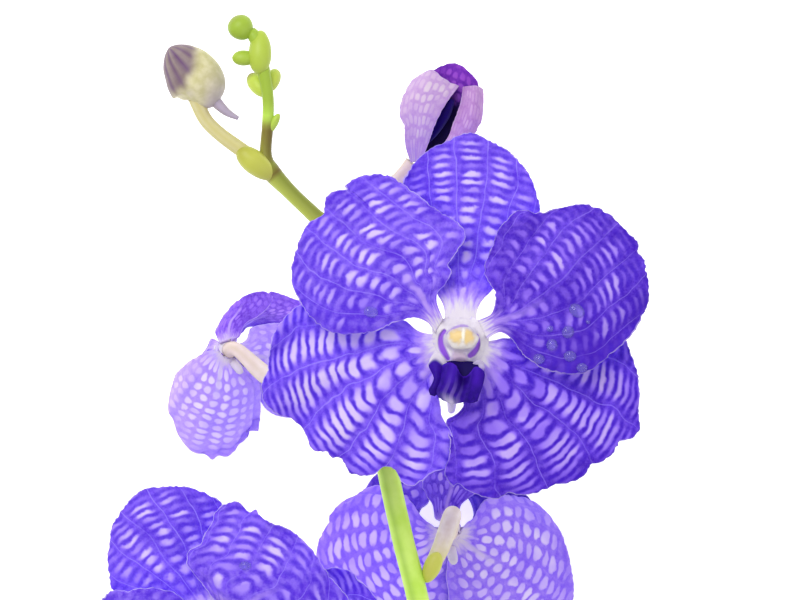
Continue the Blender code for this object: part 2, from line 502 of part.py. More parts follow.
# An ellipse given in a bloom's own frame.
def ring_in(frame, middle, across, up, sides):
    return [frame @ point for point in ellipse(Vector(middle), Vector(across), Vector(up), sides)]


def lip(bloom, frame):
    rings = []
    middles = [Vector(middle) for middle, _, _ in LIP_RINGS]
    last = len(LIP_RINGS) - 1
    for index, (middle, half_width, half_depth) in enumerate(LIP_RINGS):
        ahead = (middles[min(index + 1, last)] - middles[max(index - 1, 0)]).normalized()
        depth = ahead.cross(Vector((1.0, 0.0, 0.0))).normalized() * half_depth
        rings.append(ring_in(frame, middle, (half_width, 0.0, 0.0), depth, LIP_SIDES))
    origin = frame.translation
    tongue = loft(bloom.name + "_lip", rings, "lip", origin)
    lobes = []
    for side in (-1, 1):
        lobe_rings = []
        for (x, y, z), half_width, height in LOBE_RINGS:
            up = (0.0, -LOBE_SLANT * height, height)
            lobe_rings.append(ring_in(frame, (side * x, y, z), (half_width, 0.0, 0.0), up, LOBE_SIDES))
        lobes.append(loft(bloom.name + "_lip_lobe", lobe_rings, "lip", origin))
    return joined(tongue, *lobes)


def column(bloom, frame):
    origin = frame.translation
    sides = len(DISC_CORNERS)
    disc = [[frame @ Vector((x, y, z)) for x, y in DISC_CORNERS]
            for z in (-DISC_HALF_THICKNESS, DISC_HALF_THICKNESS)]
    rings = []
    for (x, y), z, half_width, half_depth in COLUMN_RINGS:
        ring = []
        for corner_x, corner_y in DISC_CORNERS:
            turn = math.atan2(corner_y, corner_x)
            ring.append(frame @ Vector((x + half_width * math.cos(turn), y + half_depth * math.sin(turn), z)))
        rings.append(ring)
    loft(bloom.name + "_column", disc + rings, "column", origin)
    cap = [ring_in(frame, (*CAP_MIDDLE, z), (half_width, 0.0, 0.0), (0.0, half_depth, 0.0), sides)
           for z, half_width, half_depth in CAP_RINGS]
    loft(bloom.name + "_anther_cap", cap, "anther_cap", origin)


# The claws of the front bloom, placed on another bloom. One that faces down has its left and right
# claws changed over.
def claws_for_bloom(bloom, reach):
    swapped = {"left": "right", "right": "left"}
    claws = {}
    for part, ends in CLAWS.items():
        kind, _, side = part.rpartition("_")
        own = f"{kind}_{swapped[side]}" if bloom.faces < 0 and side in swapped else part
        claws[own] = [for_bloom(bloom, x * reach, y * reach) for x, y in ends]
    return claws


def open_bloom(bloom, claws, outlines, reliefs):
    frame = bloom_frame(bloom)
    for part, outline in outlines.items():
        first = Vector(outline.out[0])
        claw = sorted(claws[part], key=lambda end: (Vector(end) - first).length)
        blade(f"{bloom.name}_{part}", bloom.middle, bloom.height, bloom.faces, bloom.fall,
              claw, outline, reliefs[part], bloom.grid)
    lip(bloom, frame)
    column(bloom, frame)


# A growth that swells from its root to its middle and closes at its tip.
def growth(name, root, tip, radius, look):
    start, end = seen_at(*root), seen_at(*tip)
    path = [(*start.lerp(end, share), radius * width) for share, width in GROWTH_WIDTHS]
    return loft(name, tube_rings(path, GROWTH_RINGS, GROWTH_SIDES), look, start)


# The stem's rings, with its cut end pressed flat where it meets the surface.
def stem_rings(extra):
    path = [(x, y, z, radius + extra) for x, y, z, radius in seen_path(STEM_PATH)]
    rings = tube_rings(path, STEM_RINGS, STEM_SIDES)
    return [[Vector((point.x, point.y, max(point.z, 0.0))) for point in ring] for ring in rings]


def flower_stem():
    origin = seen_at(*STEM_PATH[0][:3])
    stem = loft("flower_stem", stem_rings(0.0), "stem", origin)
    growths = [growth("stem_growth", root, tip, radius, "stem") for root, tip, radius in STEM_GROWTHS]
    return joined(stem, *growths)


# An open bloom's stalk ends straight behind the bloom; the other stalks end as their paths say.
def stalk_end(name):
    length, narrow, wide = STALK_END
    for bloom in (FRONT, LOWER, BACK, SIDE):
        if bloom.name == name:
            behind = DISC_HALF_THICKNESS + GAP / bloom.size
            frame = bloom_frame(bloom)
            return [(*(frame @ Vector((0.0, 0.0, -behind - length / bloom.size))), narrow),
                    (*(frame @ Vector((0.0, 0.0, -behind))), wide)]
    return []


def pedicels():
    cutters = [loft("stem_clearance", stem_rings(GAP), "stem", seen_at(*STEM_PATH[0][:3]))]
    for root, tip, radius in STEM_GROWTHS:
        cutters.append(growth("growth_clearance", root, tip, radius + GAP, "stem"))
    for cutter in cutters:
        as_cutter(cutter)
    for name, points in PEDICELS.items():
        path = seen_path(points) + stalk_end(name)
        stalk = loft(name + "_pedicel", tube_rings(path, PEDICEL_RINGS, PEDICEL_SIDES), "pedicel",
                     Vector(path[0][:3]))
        for cutter in cutters:
            cut = stalk.modifiers.new("Clear of the stem", "BOOLEAN")
            cut.operation = "DIFFERENCE"
            cut.object = cutter


def half_open_bloom():
    for part, (claw, outline, relief) in HALF_OPEN_BLADES.items():
        blade("half_open_bloom_" + part, HALF_OPEN_MIDDLE, HALF_OPEN_HEIGHT, 1, 0.0, claw, outline, relief,
              HALF_OPEN_GRID)
    path = [(*seen_at(*point), radius) for point, radius in HALF_OPEN_LIP]
    loft("half_open_bloom_lip", tube_rings(path, HALF_OPEN_LIP_RINGS, LIP_SIDES), "lip", Vector(path[0][:3]))


def large_bud():
    path = [(*seen_at(*point), radius) for point, radius in LARGE_BUD]
    spur_path = [(*seen_at(*point), radius) for point, radius in BUD_SPUR]
    origin = Vector(path[0][:3])
    body = loft("large_bud", tube_rings(path, BUD_RINGS, BUD_SIDES), "bud", origin)
    spur = loft("large_bud_spur", tube_rings(spur_path, SPUR_RINGS, SPUR_SIDES), "bud", origin)
    return joined(body, spur)


def main():
    for obj in list(bpy.data.objects):
        bpy.data.objects.remove(obj)
    lower_outlines = dict(LOWER_OUTLINES)
    for part in LOWER_FROM_FRONT:
        lower_outlines[part] = outline_for_bloom(LOWER, FRONT_OUTLINES[part])
    open_bloom(FRONT, CLAWS, FRONT_OUTLINES, FRONT_RELIEF)
    open_bloom(LOWER, claws_for_bloom(LOWER, 1.0), lower_outlines, LOWER_RELIEF)
    open_bloom(BACK, BACK_CLAWS, BACK_OUTLINES, BACK_RELIEF)
    open_bloom(SIDE, claws_for_bloom(SIDE, SIDE_CLAW_REACH), SIDE_OUTLINES, SIDE_RELIEF)
    half_open_bloom()
    flower_stem()
    pedicels()
    large_bud()


main()
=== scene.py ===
# Cut vanda orchid lying on a white surface: the looks of its petals, lips, stalks, stem and buds.
# Lengths are in millimetres until a mesh is made. Outlines give x and y as the camera sees them
# in the plane of the front bloom, from the middle of the view.

import math

import bmesh
import bpy
from mathutils import Matrix, Vector, bvhtree, kdtree, noise


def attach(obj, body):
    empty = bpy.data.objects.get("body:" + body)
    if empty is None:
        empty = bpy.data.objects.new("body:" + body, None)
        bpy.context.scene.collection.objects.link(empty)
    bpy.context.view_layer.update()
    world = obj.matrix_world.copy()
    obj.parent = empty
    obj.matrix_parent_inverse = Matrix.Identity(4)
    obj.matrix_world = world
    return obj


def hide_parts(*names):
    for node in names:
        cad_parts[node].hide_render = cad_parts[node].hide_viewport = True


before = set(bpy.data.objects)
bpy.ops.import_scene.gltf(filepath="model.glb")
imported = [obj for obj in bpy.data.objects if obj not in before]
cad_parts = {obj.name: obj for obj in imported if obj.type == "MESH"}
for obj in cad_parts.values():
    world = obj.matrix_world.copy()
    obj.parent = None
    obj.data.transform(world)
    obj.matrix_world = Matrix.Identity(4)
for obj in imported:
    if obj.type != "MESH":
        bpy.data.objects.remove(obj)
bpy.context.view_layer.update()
print("frame loaded,", len(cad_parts), "nodes")

mm = 0.001
# the camera's distance above the front bloom, and the middle of the part's box as the camera sees it
view = {"eyeDistance": 1200.0, "frontHeight": 86.0, "boxMiddle": Vector((-12.3, -90.2, 0.0)), "lens": 216.0}
# a blade's thickness, the gap between a bloom and its stalk, and the steps between two points of a curve
build = {"blade": 0.8, "gap": 0.35, "curveSteps": 12}
detail = 1.0     # share of the full number of faces each way
bumpDistance = 0.05                     # how far the finest relief of a skin stands out


# the place, in the part's frame, of a point that the camera sees at x and y and that lies at a height
def seenAt(x, y, height):
    wider = 1.0 + (view["frontHeight"] - height) / view["eyeDistance"]
    return Vector((x * wider, y * wider, height)) - view["boxMiddle"]


# points at even distances along a smooth curve through the given ones
def along(points, count):
    points = [Vector(point) for point in points]
    padded = [points[0]] + points + [points[-1]]
    fine = []
    for before, start, end, after in zip(padded, padded[1:], padded[2:], padded[3:]):
        for step in range(build["curveSteps"]):
            t = step / build["curveSteps"]
            square = 2 * before - 5 * start + 4 * end - after
            cube = 3 * start - 3 * end + after - before
            fine.append(0.5 * (2 * start + (end - before) * t + square * t ** 2 + cube * t ** 3))
    fine.append(points[-1])
    reach = [0.0]
    for a, b in zip(fine, fine[1:]):
        reach.append(reach[-1] + (b - a).length)
    even = []
    piece = 0
    for index in range(count):
        wanted = reach[-1] * index / (count - 1)
        while piece < len(fine) - 2 and reach[piece + 1] < wanted:
            piece += 1
        share = (wanted - reach[piece]) / max(reach[piece + 1] - reach[piece], 1e-9)
        even.append(fine[piece].lerp(fine[piece + 1], min(share, 1.0)))
    return even


# rises smoothly from 0 at low to 1 at high
def smooth(low, high, value):
    t = min(max((value - low) / (high - low), 0.0), 1.0)
    return t * t * (3 - 2 * t)


# an sRGB hex colour as linear light
def colour(hexText):
    values = [int(hexText[i:i + 2], 16) / 255 for i in (0, 2, 4)]
    return (*[c / 12.92 if c <= 0.04045 else ((c + 0.055) / 1.055) ** 2.4 for c in values], 1.0)


# adds one node with its settings, and values or links for its inputs
def addNode(tree, kind, inputs=None, **settings):
    node = tree.nodes.new("ShaderNode" + kind)
    for name, value in settings.items():
        setattr(node, name, value)
    for name, value in (inputs or {}).items():
        socket = node.inputs[name]
        if isinstance(value, bpy.types.Node):
            mixesColours = value.bl_idname == "ShaderNodeMix" and value.data_type == "RGBA"
            value = value.outputs[2 if mixesColours else 0]
        if isinstance(value, bpy.types.NodeSocket):
            tree.links.new(value, socket)
        else:
            socket.default_value = value
    return node


# a new material whose shader has the given values; _ in a name stands for a space
def startMaterial(name, **values):
    material = bpy.data.materials.new(name)
    material.use_nodes = True
    shader = material.node_tree.nodes["Principled BSDF"]
    for key, value in values.items():
        shader.inputs[key.replace("_", " ")].default_value = value
    return material, material.node_tree, shader


# gives a shader its mixed colour and its fine relief
def finishColour(tree, shader, mixed, height):
    tree.links.new(mixed.outputs[2], shader.inputs["Base Color"])
    bump = addNode(tree, "Bump", {"Height": height, "Distance": bumpDistance * mm, "Strength": 1.0})
    tree.links.new(bump.outputs[0], shader.inputs["Normal"])


# Orchid tepal: living petal skin with water in its cells, which gives a soft satin. Its pigment lies
# in bars between the veins, about 5 mm apart near the claw and 2 mm near the rim, round pale cells.
# violet and deep are the ground, lilac and cell the middle of a cell, pink and claw the blade's foot,
# and each look has one row of colours in that order of parts.
tepalParts = ("bar", "violet", "deep", "lilac", "cell", "vein", "edge", "pink", "claw")
tepalColours = {
    "bright": "4824CA 7A56EC 5830D2 A082F3 D2BFED A894FA D2C2EE B294EC DCD5DD",
    # deep is bright made darker: painted shade for the blades that lie in shade
    "deep": "3C14B6 6640DA 4218B0 8A66E8 BCA4E8 9A80F0 CBB8EA A688E4 DCD5DD",
    "back": "7450F0 8E6AF6 7852EC B090FA D6C0FC A084F8 C4B0F2 CCBAEC DAD0E0",
    "pale": "9E7EFA B494FC A080F8 CAB0FC E8DAFC B496F8 CDB8F4 CFC0E4 D8CFDC",
    "soft": "8058F2 9A76F8 825CF2 BCA0FB E0D0FC AA8CF8 C8B4F3 CDBDE8 DAD0E0",
    "mauve": "6A38D0 8C5EEC 5C2CC4 9C70EE B088F2 9A70F0 C4B0EE C0A4EE D8CFDC",
    "closed": "AE86C4 C09ECE B08ACA CCB2D2 D8CCD4 8E5CC8 C9B2E8 B79AD8 B49CDC",
    "closedRight": "A070B4 B488C0 A272B8 C09ACA CCB0D0 8E5CC8 C9B2E8 A984CC A984CC",
    # the cap look's pink and claw colours are painted shade at the cap's foot
    "cap": "5A1CA0 7428AE 561A9A 8C40BE 9A54C8 8248B8 A87CD0 2A0A5C 16033C",
    # the inside look is painted shade: the faces turned into the half-open bloom's hollow
    "inside": "20064E 2C0A66 20064E 320E70 361074 320E70 4C2488 2C0A66 2C0A66",
}
tepalColours = {look: dict(zip(tepalParts, row.split())) for look, row in tepalColours.items()}

# ringScale and ringPower turn a reach in millimetres into a count of bars. roundness 2 makes an oval
# cell and more a square one; core is the share of it that is palest. darkSide deepens one edge, the
# last when it is positive and the first when it is negative; this is partly the blade's own pigment
# and partly painted shade.
tepalKinds = {
    "dorsal_sepal": {"columns": 6, "ringScale": 0.0169, "ringPower": 1.77, "barStrength": 0.65,
                     "barWidth": 0.9, "bulge": -0.1, "roundness": 2.5, "core": 0.1, "jitter": 0.8,
                     "cellLow": 0.25, "patchLow": 0.6, "dark": 0.6, "darkSide": 0.0, "midrib": 0.0,
                     "clawReach": 5.5, "vein": 0.5, "blotch": 0.3},
    "petal_left": {"columns": 7, "ringScale": 0.034, "ringPower": 1.6, "barStrength": 0.6, "barWidth": 1.0,
                   "bulge": 0.3, "roundness": 2.0, "core": 0.2, "jitter": 0.6, "cellLow": 0.25,
                   "patchLow": 0.6, "dark": 0.6, "darkSide": -0.3, "midrib": 0.8, "clawReach": 3.5,
                   "vein": 0.4, "blotch": 0.5},
    "petal_right": {"columns": 7, "ringScale": 0.034, "ringPower": 1.6, "barStrength": 0.75, "barWidth": 1.0,
                    "bulge": 0.35, "roundness": 2.0, "core": 0.2, "jitter": 0.6, "cellLow": 0.3,
                    "patchLow": 0.5, "dark": 0.5, "darkSide": 0.75, "midrib": 0.6, "clawReach": 3.5,
                    "vein": 0.35, "blotch": 0.45},
    "lateral_sepal_left": {"columns": 6, "ringScale": 0.0068, "ringPower": 2.0, "barStrength": 0.95,
                           "barWidth": 0.85, "bulge": 0.3, "roundness": 2.6, "core": 0.35, "jitter": 0.3,
                           "cellLow": 0.6, "patchLow": 0.65, "dark": 0.4, "darkSide": 0.0, "midrib": 0.0,
                           "clawReach": 2.4, "vein": 0.45, "blotch": 0.3},
    "lateral_sepal_right": {"columns": 6, "ringScale": 0.0072, "ringPower": 2.0, "barStrength": 0.95,
                            "barWidth": 0.9, "bulge": 0.3, "roundness": 2.6, "core": 0.4, "jitter": 0.3,
                            "cellLow": 0.5, "patchLow": 0.55, "dark": 0.5, "darkSide": 0.15, "midrib": 0.0,
                            "clawReach": 2.8, "vein": 0.4, "blotch": 0.3},
}
# From behind, the same cells look small, round and soft, and a pale line follows each claw.
behindKind = {"columns": 10, "ringScale": 0.05, "ringPower": 1.4, "barStrength": 0.35, "barWidth": 1.2,
              "bulge": 0.1, "roundness": 2.0, "core": 0.5, "jitter": 0.5, "cellLow": 0.5, "patchLow": 0.6,
              "darkSide": 0.0, "dark": 0.4, "midrib": 0.8, "clawReach": 0.0, "vein": 0.1, "blotch": 0.4}


# size in millimetres and detail of the noises that break up the pattern
tepalNoises = {"drift": (7.0, 2.0), "wobble": (2.2, 2.0), "patches": (11.0, 2.0), "blotches": (1.7, 4.0),
               "grain": (0.5, 3.0)}
# streaks along the veins, a fine and a broad kind: how many to a column, layer of the noise, detail
tepalStreaks = {"along": 0.3, "kinds": ((7.0, 0.0, 3.0), (1.7, 5.0, 2.0))}
# sway of the veins, shift of the bars, and how far streaks carry the claw's paleness out
tepalShifts = {"sway": 0.6, "drift": 1.3, "clawStreak": 8.0, "clawMiddle": 4.0}


# the whole part of a count, the share after it, the share that is left, and the lesser of these two
def countParts(tree, count):
    whole = addNode(tree, "Math", {0: count}, operation="FLOOR")
    share = addNode(tree, "Math", {0: count}, operation="FRACT")
    rest = addNode(tree, "Math", {0: 1.0, 1: share}, operation="SUBTRACT")
    return whole, share, rest, addNode(tree, "Math", {0: share, 1: rest}, operation="MINIMUM")


def tepalMaterial(name, look, kind, seed):
    material, tree, shader = startMaterial(name, Roughness=0.55, Specular_IOR_Level=0.12)
    columns = kind["columns"]
    place = addNode(tree, "TexCoord").outputs["Object"]
    across, reach, spread, margin = [addNode(tree, "Attribute", attribute_name=key).outputs["Fac"]
                                     for key in ("across", "reach", "spread", "margin")]
    drift, wobble, patches, blotches, grain = [
        addNode(tree, "TexNoise", {"Vector": place, "Scale": 1 / (size * mm), "Detail": fineness})
        for size, fineness in tepalNoises.values()]
    streakAlong = addNode(tree, "Math", {0: reach, 1: tepalStreaks["along"]}, operation="MULTIPLY")
    streakNoises = []
    for count, layer, fineness in tepalStreaks["kinds"]:
        streakAcross = addNode(tree, "Math", {0: across, 1: columns * count}, operation="MULTIPLY")
        spot = addNode(tree, "CombineXYZ", {"X": streakAcross, "Y": streakAlong, "Z": seed + layer})
        streakNoises.append(addNode(tree, "TexNoise", {"Vector": spot, "Scale": 1.0, "Detail": fineness}))
    streaks, broadStreaks = streakNoises

    # veins fan out at whole numbers of column
    swayStart = seed % 1.0 - tepalShifts["sway"] / 2
    sway = addNode(tree, "Math", {0: patches, 1: tepalShifts["sway"], 2: swayStart}, operation="MULTIPLY_ADD")
    column = addNode(tree, "Math", {0: across, 1: columns, 2: sway}, operation="MULTIPLY_ADD")
    columnId, columnShare, columnRest, toVein = countParts(tree, column)
    columnWidth = addNode(tree, "Math", {0: spread, 1: columns}, operation="DIVIDE")
    veinGap = addNode(tree, "Math", {0: toVein, 1: columnWidth}, operation="MULTIPLY")
    bowed = addNode(tree, "Math", {0: columnShare, 1: columnRest}, operation="MULTIPLY")

    # bars lie at whole numbers of ring, bowed between two veins and shifted in each column
    power = addNode(tree, "Math", {0: reach, 1: kind["ringPower"]}, operation="POWER")
    columnKey = addNode(tree, "Math", {0: columnId, 1: seed}, operation="ADD")
    shift = addNode(tree, "TexWhiteNoise", {"W": columnKey}, noise_dimensions="1D").outputs["Value"]
    ring = addNode(tree, "Math", {0: power, 1: kind["ringScale"], 2: shift}, operation="MULTIPLY_ADD")
    for value, weight in ((drift, tepalShifts["drift"]), (wobble, kind["jitter"] / 2),
                          (bowed, -4 * kind["bulge"])):
        ring = addNode(tree, "Math", {0: value, 1: weight, 2: ring}, operation="MULTIPLY_ADD")
    ringId, _, _, toBar = countParts(tree, ring)
    steep = addNode(tree, "Math", {0: reach, 1: kind["ringPower"] - 1}, operation="POWER")
    rate = addNode(tree, "Math", {0: steep, 1: kind["ringScale"] * kind["ringPower"]}, operation="MULTIPLY")
    barGap = addNode(tree, "Math", {0: toBar, 1: rate}, operation="DIVIDE")

    # distance from the middle of a cell, each cell's own chance, distance from the midrib, streaky claw
    offCentre = []
    for share in (toVein, toBar):
        away = addNode(tree, "Math", {0: share, 1: -2.0, 2: 1.0}, operation="MULTIPLY_ADD")
        offCentre.append(addNode(tree, "Math", {0: away, 1: kind["roundness"]}, operation="POWER"))
    fromCentre = addNode(tree, "Math", {0: offCentre[0], 1: offCentre[1]}, operation="ADD")
    fromCentre = addNode(tree, "Math", {0: fromCentre, 1: 1 / kind["roundness"]}, operation="POWER")
    fromCentre = addNode(tree, "Math", {0: wobble, 1: kind["jitter"], 2: fromCentre},
                         operation="MULTIPLY_ADD")
    cellKey = addNode(tree, "CombineXYZ", {"X": columnId, "Y": ringId, "Z": seed})
    chance = addNode(tree, "TexWhiteNoise", {"Vector": cellKey}, noise_dimensions="3D").outputs["Value"]
    offMiddle = addNode(tree, "Math", {0: across, 1: 0.5}, operation="SUBTRACT")
    offMiddle = addNode(tree, "Math", {0: offMiddle}, operation="ABSOLUTE")
    midribGap = addNode(tree, "Math", {0: offMiddle, 1: spread}, operation="MULTIPLY")
    streakedReach = addNode(tree, "Math", {0: broadStreaks, 1: tepalShifts["clawStreak"], 2: reach},
                            operation="MULTIPLY_ADD")

    # shares that rise or fall from one value of a measure to another, with a smooth or a straight run
    clawReach = kind["clawReach"] + tepalShifts["clawMiddle"]
    loose = kind["jitter"] / 2
    sideStart, sideEnd = (0.45, 1.0) if kind["darkSide"] > 0 else (0.55, 0.0)
    shares = {}
    for key, value, start, end, low, high, run in (
            ("bar", barGap, 0.05, kind["barWidth"], kind["barStrength"], 0.0, "SMOOTHSTEP"),
            ("taper", veinGap, 0.0, 1.1, 0.3, 1.0, "LINEAR"),
            ("mottle", wobble, 0.32, 0.6, 0.4, 1.0, "LINEAR"),
            ("round", fromCentre, 1.0 + loose, kind["core"] + loose, 0.0, 1.0, "SMOOTHSTEP"),
            ("chance", chance, 0.0, 1.0, kind["cellLow"], 1.0, "LINEAR"),
            ("inner", margin, 0.5, 6.0, 0.35, 1.0, "SMOOTHSTEP"),
            ("patch", patches, 0.38, 0.58, kind["patchLow"], 1.0, "LINEAR"),
            ("blotch", blotches, 0.42, 0.68, 0.0, kind["blotch"], "LINEAR"),
            ("streaked", streaks, 0.4, 0.7, 0.0, 0.35, "LINEAR"),
            ("patched", patches, 0.55, 0.38, 0.0, kind["dark"], "LINEAR"),
            ("grained", grain, 0.42, 0.72, 0.0, 0.55, "LINEAR"),
            ("sided", across, sideStart, sideEnd, 0.0, abs(kind["darkSide"]), "SMOOTHSTEP"),
            ("vein", veinGap, 0.03, 0.18, kind["vein"], 0.0, "SMOOTHSTEP"),
            ("veinFar", reach, 8.0, 16.0, 0.0, 1.0, "LINEAR"),
            ("unbroken", drift, 0.35, 0.55, 0.3, 1.0, "LINEAR"),
            ("midrib", midribGap, 0.2, 1.4, kind["midrib"], 0.0, "SMOOTHSTEP"),
            ("midribNear", reach, 8.0, 22.0, 1.0, 0.0, "SMOOTHSTEP"),
            ("pink", streakedReach, clawReach, clawReach + 6, 1.0, 0.0, "SMOOTHSTEP"),
            ("claw", streakedReach, clawReach - 2, clawReach + 2.5, 1.0, 0.0, "SMOOTHSTEP"),
            ("edge", margin, 0.08, 0.3, 0.6, 0.0, "SMOOTHSTEP")):
        shares[key] = addNode(tree, "MapRange", {"Value": value, "From Min": start, "From Max": end,
                                                 "To Min": low, "To Max": high}, interpolation_type=run)
    sidedRest = addNode(tree, "Math", {0: 1.0, 1: shares["sided"]}, operation="SUBTRACT")

    # products: pigment in a bar, light in a cell, and the lines of veins, midrib and margin
    products = {}
    for key, *factors in (("bar", "taper", "mottle"), ("round", "chance", "inner", "patch"),
                          ("vein", "veinFar", "unbroken"), ("midrib", "midribNear"), ("edge", "unbroken")):
        products[key] = shares[key]
        for factor in factors:
            products[key] = addNode(tree, "Math", {0: products[key], 1: shares[factor]}, operation="MULTIPLY")
    light = products["round"]

    # deeper violet in fine streaks, in patches, in grains and towards one side, the last partly painted shade
    deep = shares["streaked"]
    for level in ("patched", "grained", "sided"):
        deep = addNode(tree, "Math", {0: deep, 1: shares[level]}, operation="ADD", use_clamp=True)
    lilacShare = addNode(tree, "MapRange", {"Value": light, "From Max": 0.42},
                         interpolation_type="SMOOTHSTEP")
    lilacShare = addNode(tree, "Math", {0: lilacShare, 1: shares["blotch"]}, operation="MAXIMUM")
    cellShare = addNode(tree, "MapRange", {"Value": light, "From Min": 0.25, "From Max": 0.9},
                        interpolation_type="SMOOTHSTEP")
    lilacShare, cellShare = [addNode(tree, "Math", {0: share, 1: sidedRest}, operation="MULTIPLY")
                             for share in (lilacShare, cellShare)]

    mixed = addNode(tree, "Mix", {0: deep, 6: colour(look["violet"]), 7: colour(look["deep"])},
                    data_type="RGBA")
    for share, part in ((lilacShare, "lilac"), (cellShare, "cell"), (products["bar"], "bar"),
                        (products["vein"], "vein"), (products["midrib"], "pink"), (shares["pink"], "pink"),
                        (shares["claw"], "claw"), (products["edge"], "edge")):
        mixed = addNode(tree, "Mix", {0: share, 6: mixed, 7: colour(look[part])}, data_type="RGBA")
    raised = addNode(tree, "Math", {0: streaks, 1: light}, operation="ADD")
    finishColour(tree, shader, mixed, raised)
    return material


# tissue of two close colours in a mottle, with a tint for each attribute that the mesh gives it
def plainMaterial(name, low, high, mottleSize, roughness, specular, tints=()):
    material, tree, shader = startMaterial(name, Roughness=roughness, Specular_IOR_Level=specular)
    place = addNode(tree, "TexCoord").outputs["Object"]
    mottle = addNode(tree, "TexNoise", {"Vector": place, "Scale": 1 / (mottleSize * mm), "Detail": 3.0})
    share = addNode(tree, "MapRange", {"Value": mottle, "From Min": 0.35, "From Max": 0.65})
    mixed = addNode(tree, "Mix", {0: share, 6: colour(low), 7: colour(high)}, data_type="RGBA")
    for attribute, tint in tints:
        amount = addNode(tree, "Attribute", attribute_name=attribute).outputs["Fac"]
        mixed = addNode(tree, "Mix", {0: amount, 6: mixed, 7: colour(tint)}, data_type="RGBA")
    finishColour(tree, shader, mixed, mottle)
    return material


# Orchid column: waxy white tissue, nearly smooth; its hollow tint is painted shade in the stigma's hollow.
columnWax = plainMaterial("Waxy column tissue", "D2CAD4", "E0DAE0", 1.5, roughness=0.45, specular=0.2, tints=(
    ("purple", "8A3BD6"), ("pink", "D3A6CC"), ("hollow", "B9A2C4"), ("lilac", "A98AEC")))
# Anther cap: two pollen pouches seen through a thin waxy skin.
antherWax = plainMaterial("Waxy anther cap", "D6CECC", "E0DAD6", 1.0, roughness=0.4, specular=0.35, tints=(
    ("yellow", "E2C070"), ("ridge", "EDE9DC")))
# Lip: velvety dark violet with pale keels, and a plainer, paler underside. Its dark tint is painted
# shade in the middle lobe's groove, the throat and the lip inside the half-open bloom, and its bright
# tint a painted highlight on the middle lobe's shoulders and near edge.
lipVelvet = plainMaterial("Velvety lip tissue", "240878", "300C8E", 1.2, roughness=0.5, specular=0.06, tints=(
    ("dark", "180652"), ("bright", "461AB0"), ("keel", "8468BC"), ("pale", "D4CBDC")))
lipUnderside = plainMaterial("Underside of the lip", "9A7CE6", "AE94EE", 1.2, roughness=0.6, specular=0.1)
# Pedicel: a pale stalk, cream towards the bloom and greener at its root.
pedicelSkin = plainMaterial("Pedicel skin", "DACEBE", "E6DED4", 2.5, roughness=0.5, specular=0.3, tints=(
    ("pink", "D9C2C0"), ("line", "B9A878"), ("green", "CFC878")))
# Stem: fresh green stalk, with olive and brown where a leaf scar rings it. Its groove tint is the
# painted shade of a groove, and round the olive stretch more olive on one side and yellow on the
# other paint a shaded and a lit side.
stemSkin = plainMaterial("Green stem skin", "BCE650", "CCF06A", 6.0, roughness=0.42, specular=0.3, tints=(
    ("groove", "86B834"), ("lime", "9CB83C"), ("olive", "8A9434"), ("yellow", "C2C250"), ("brown", "6A5020")))
# Bud: greenish cream skin of closed tepals.
budSkin = plainMaterial("Bud skin", "C2BC86", "D6CFA6", 2.4, roughness=0.45, specular=0.2, tints=(
    ("lilac", "B4A6C4"), ("violet", "583068")))
# Water: clear drops, with an alpha that lets light through to the petal under them; their pale lilac
# base colour is painted light, the glow that the drops gather from the lit petal.
waterDrop = startMaterial("Clear water", Roughness=0.04, Specular_IOR_Level=0.5, Base_Color=colour("C4B8FF"),
                          Transmission_Weight=0.78, IOR=1.33, Alpha=0.7)[0]


# a mesh object that rides on the frame, with its place in its mesh
def addPiece(name, bm, materials, slotName, *nodes):
    mesh = bpy.data.meshes.new(name)
    bm.to_mesh(mesh)
    bm.free()
    for material in materials:
        mesh.materials.append(material)
    mesh.shade_smooth()
    obj = bpy.data.objects.new(name, mesh)
    bpy.context.scene.collection.objects.link(obj)
    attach(obj, "root")
    if nodes:
        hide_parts(*nodes)
    return obj


# gives a sheet its thickness, with the second material on its underside
def thicken(obj, thickness, group=""):
    solidify = obj.modifiers.new("Thickness", "SOLIDIFY")
    solidify.thickness = thickness * mm
    solidify.vertex_group = group
    solidify.offset = 0.0
    solidify.material_offset = 1


# a point of a patch between four curves, at u from the first to the last and v from near to far
def patchPoint(first, last, near, far, u, v):
    row, column = round(v * (len(first) - 1)), round(u * (len(near) - 1))
    corners = near[0].lerp(near[-1], u).lerp(far[0].lerp(far[-1], u), v)
    return first[row].lerp(last[row], u) + near[column].lerp(far[column], v) - corners


# Open blooms: each one's middle as seen, its height, the way it faces (1 up, -1 down), its turn in
# degrees, its size beside the front bloom, its fall towards +x, and the columns and rows of a blade.
blooms = {
    "front_bloom": {"middle": (15.0, -11.25), "height": 86.0, "faces": 1, "turn": 0, "size": 1.0,
                    "fall": 0.0, "grid": (128, 96)},
    "lower_bloom": {"middle": (-45.5, -85.5), "height": 74.0, "faces": 1, "turn": 27, "size": 0.9,
                    "fall": 0.0, "grid": (116, 88)},
    "back_bloom": {"middle": (12.5, -58.0), "height": 25.0, "faces": -1, "turn": 0, "size": 0.62,
                   "fall": 0.0, "grid": (92, 68)},
    "side_bloom": {"middle": (-43.0, -12.5), "height": 27.0, "faces": -1, "turn": 16, "size": 0.5,
                   "fall": 0.5, "grid": (84, 60)},
}
sideClawReach = 1.25
behindShare = 0.62  # of the claws' and the disc's reach, for a bloom seen from behind

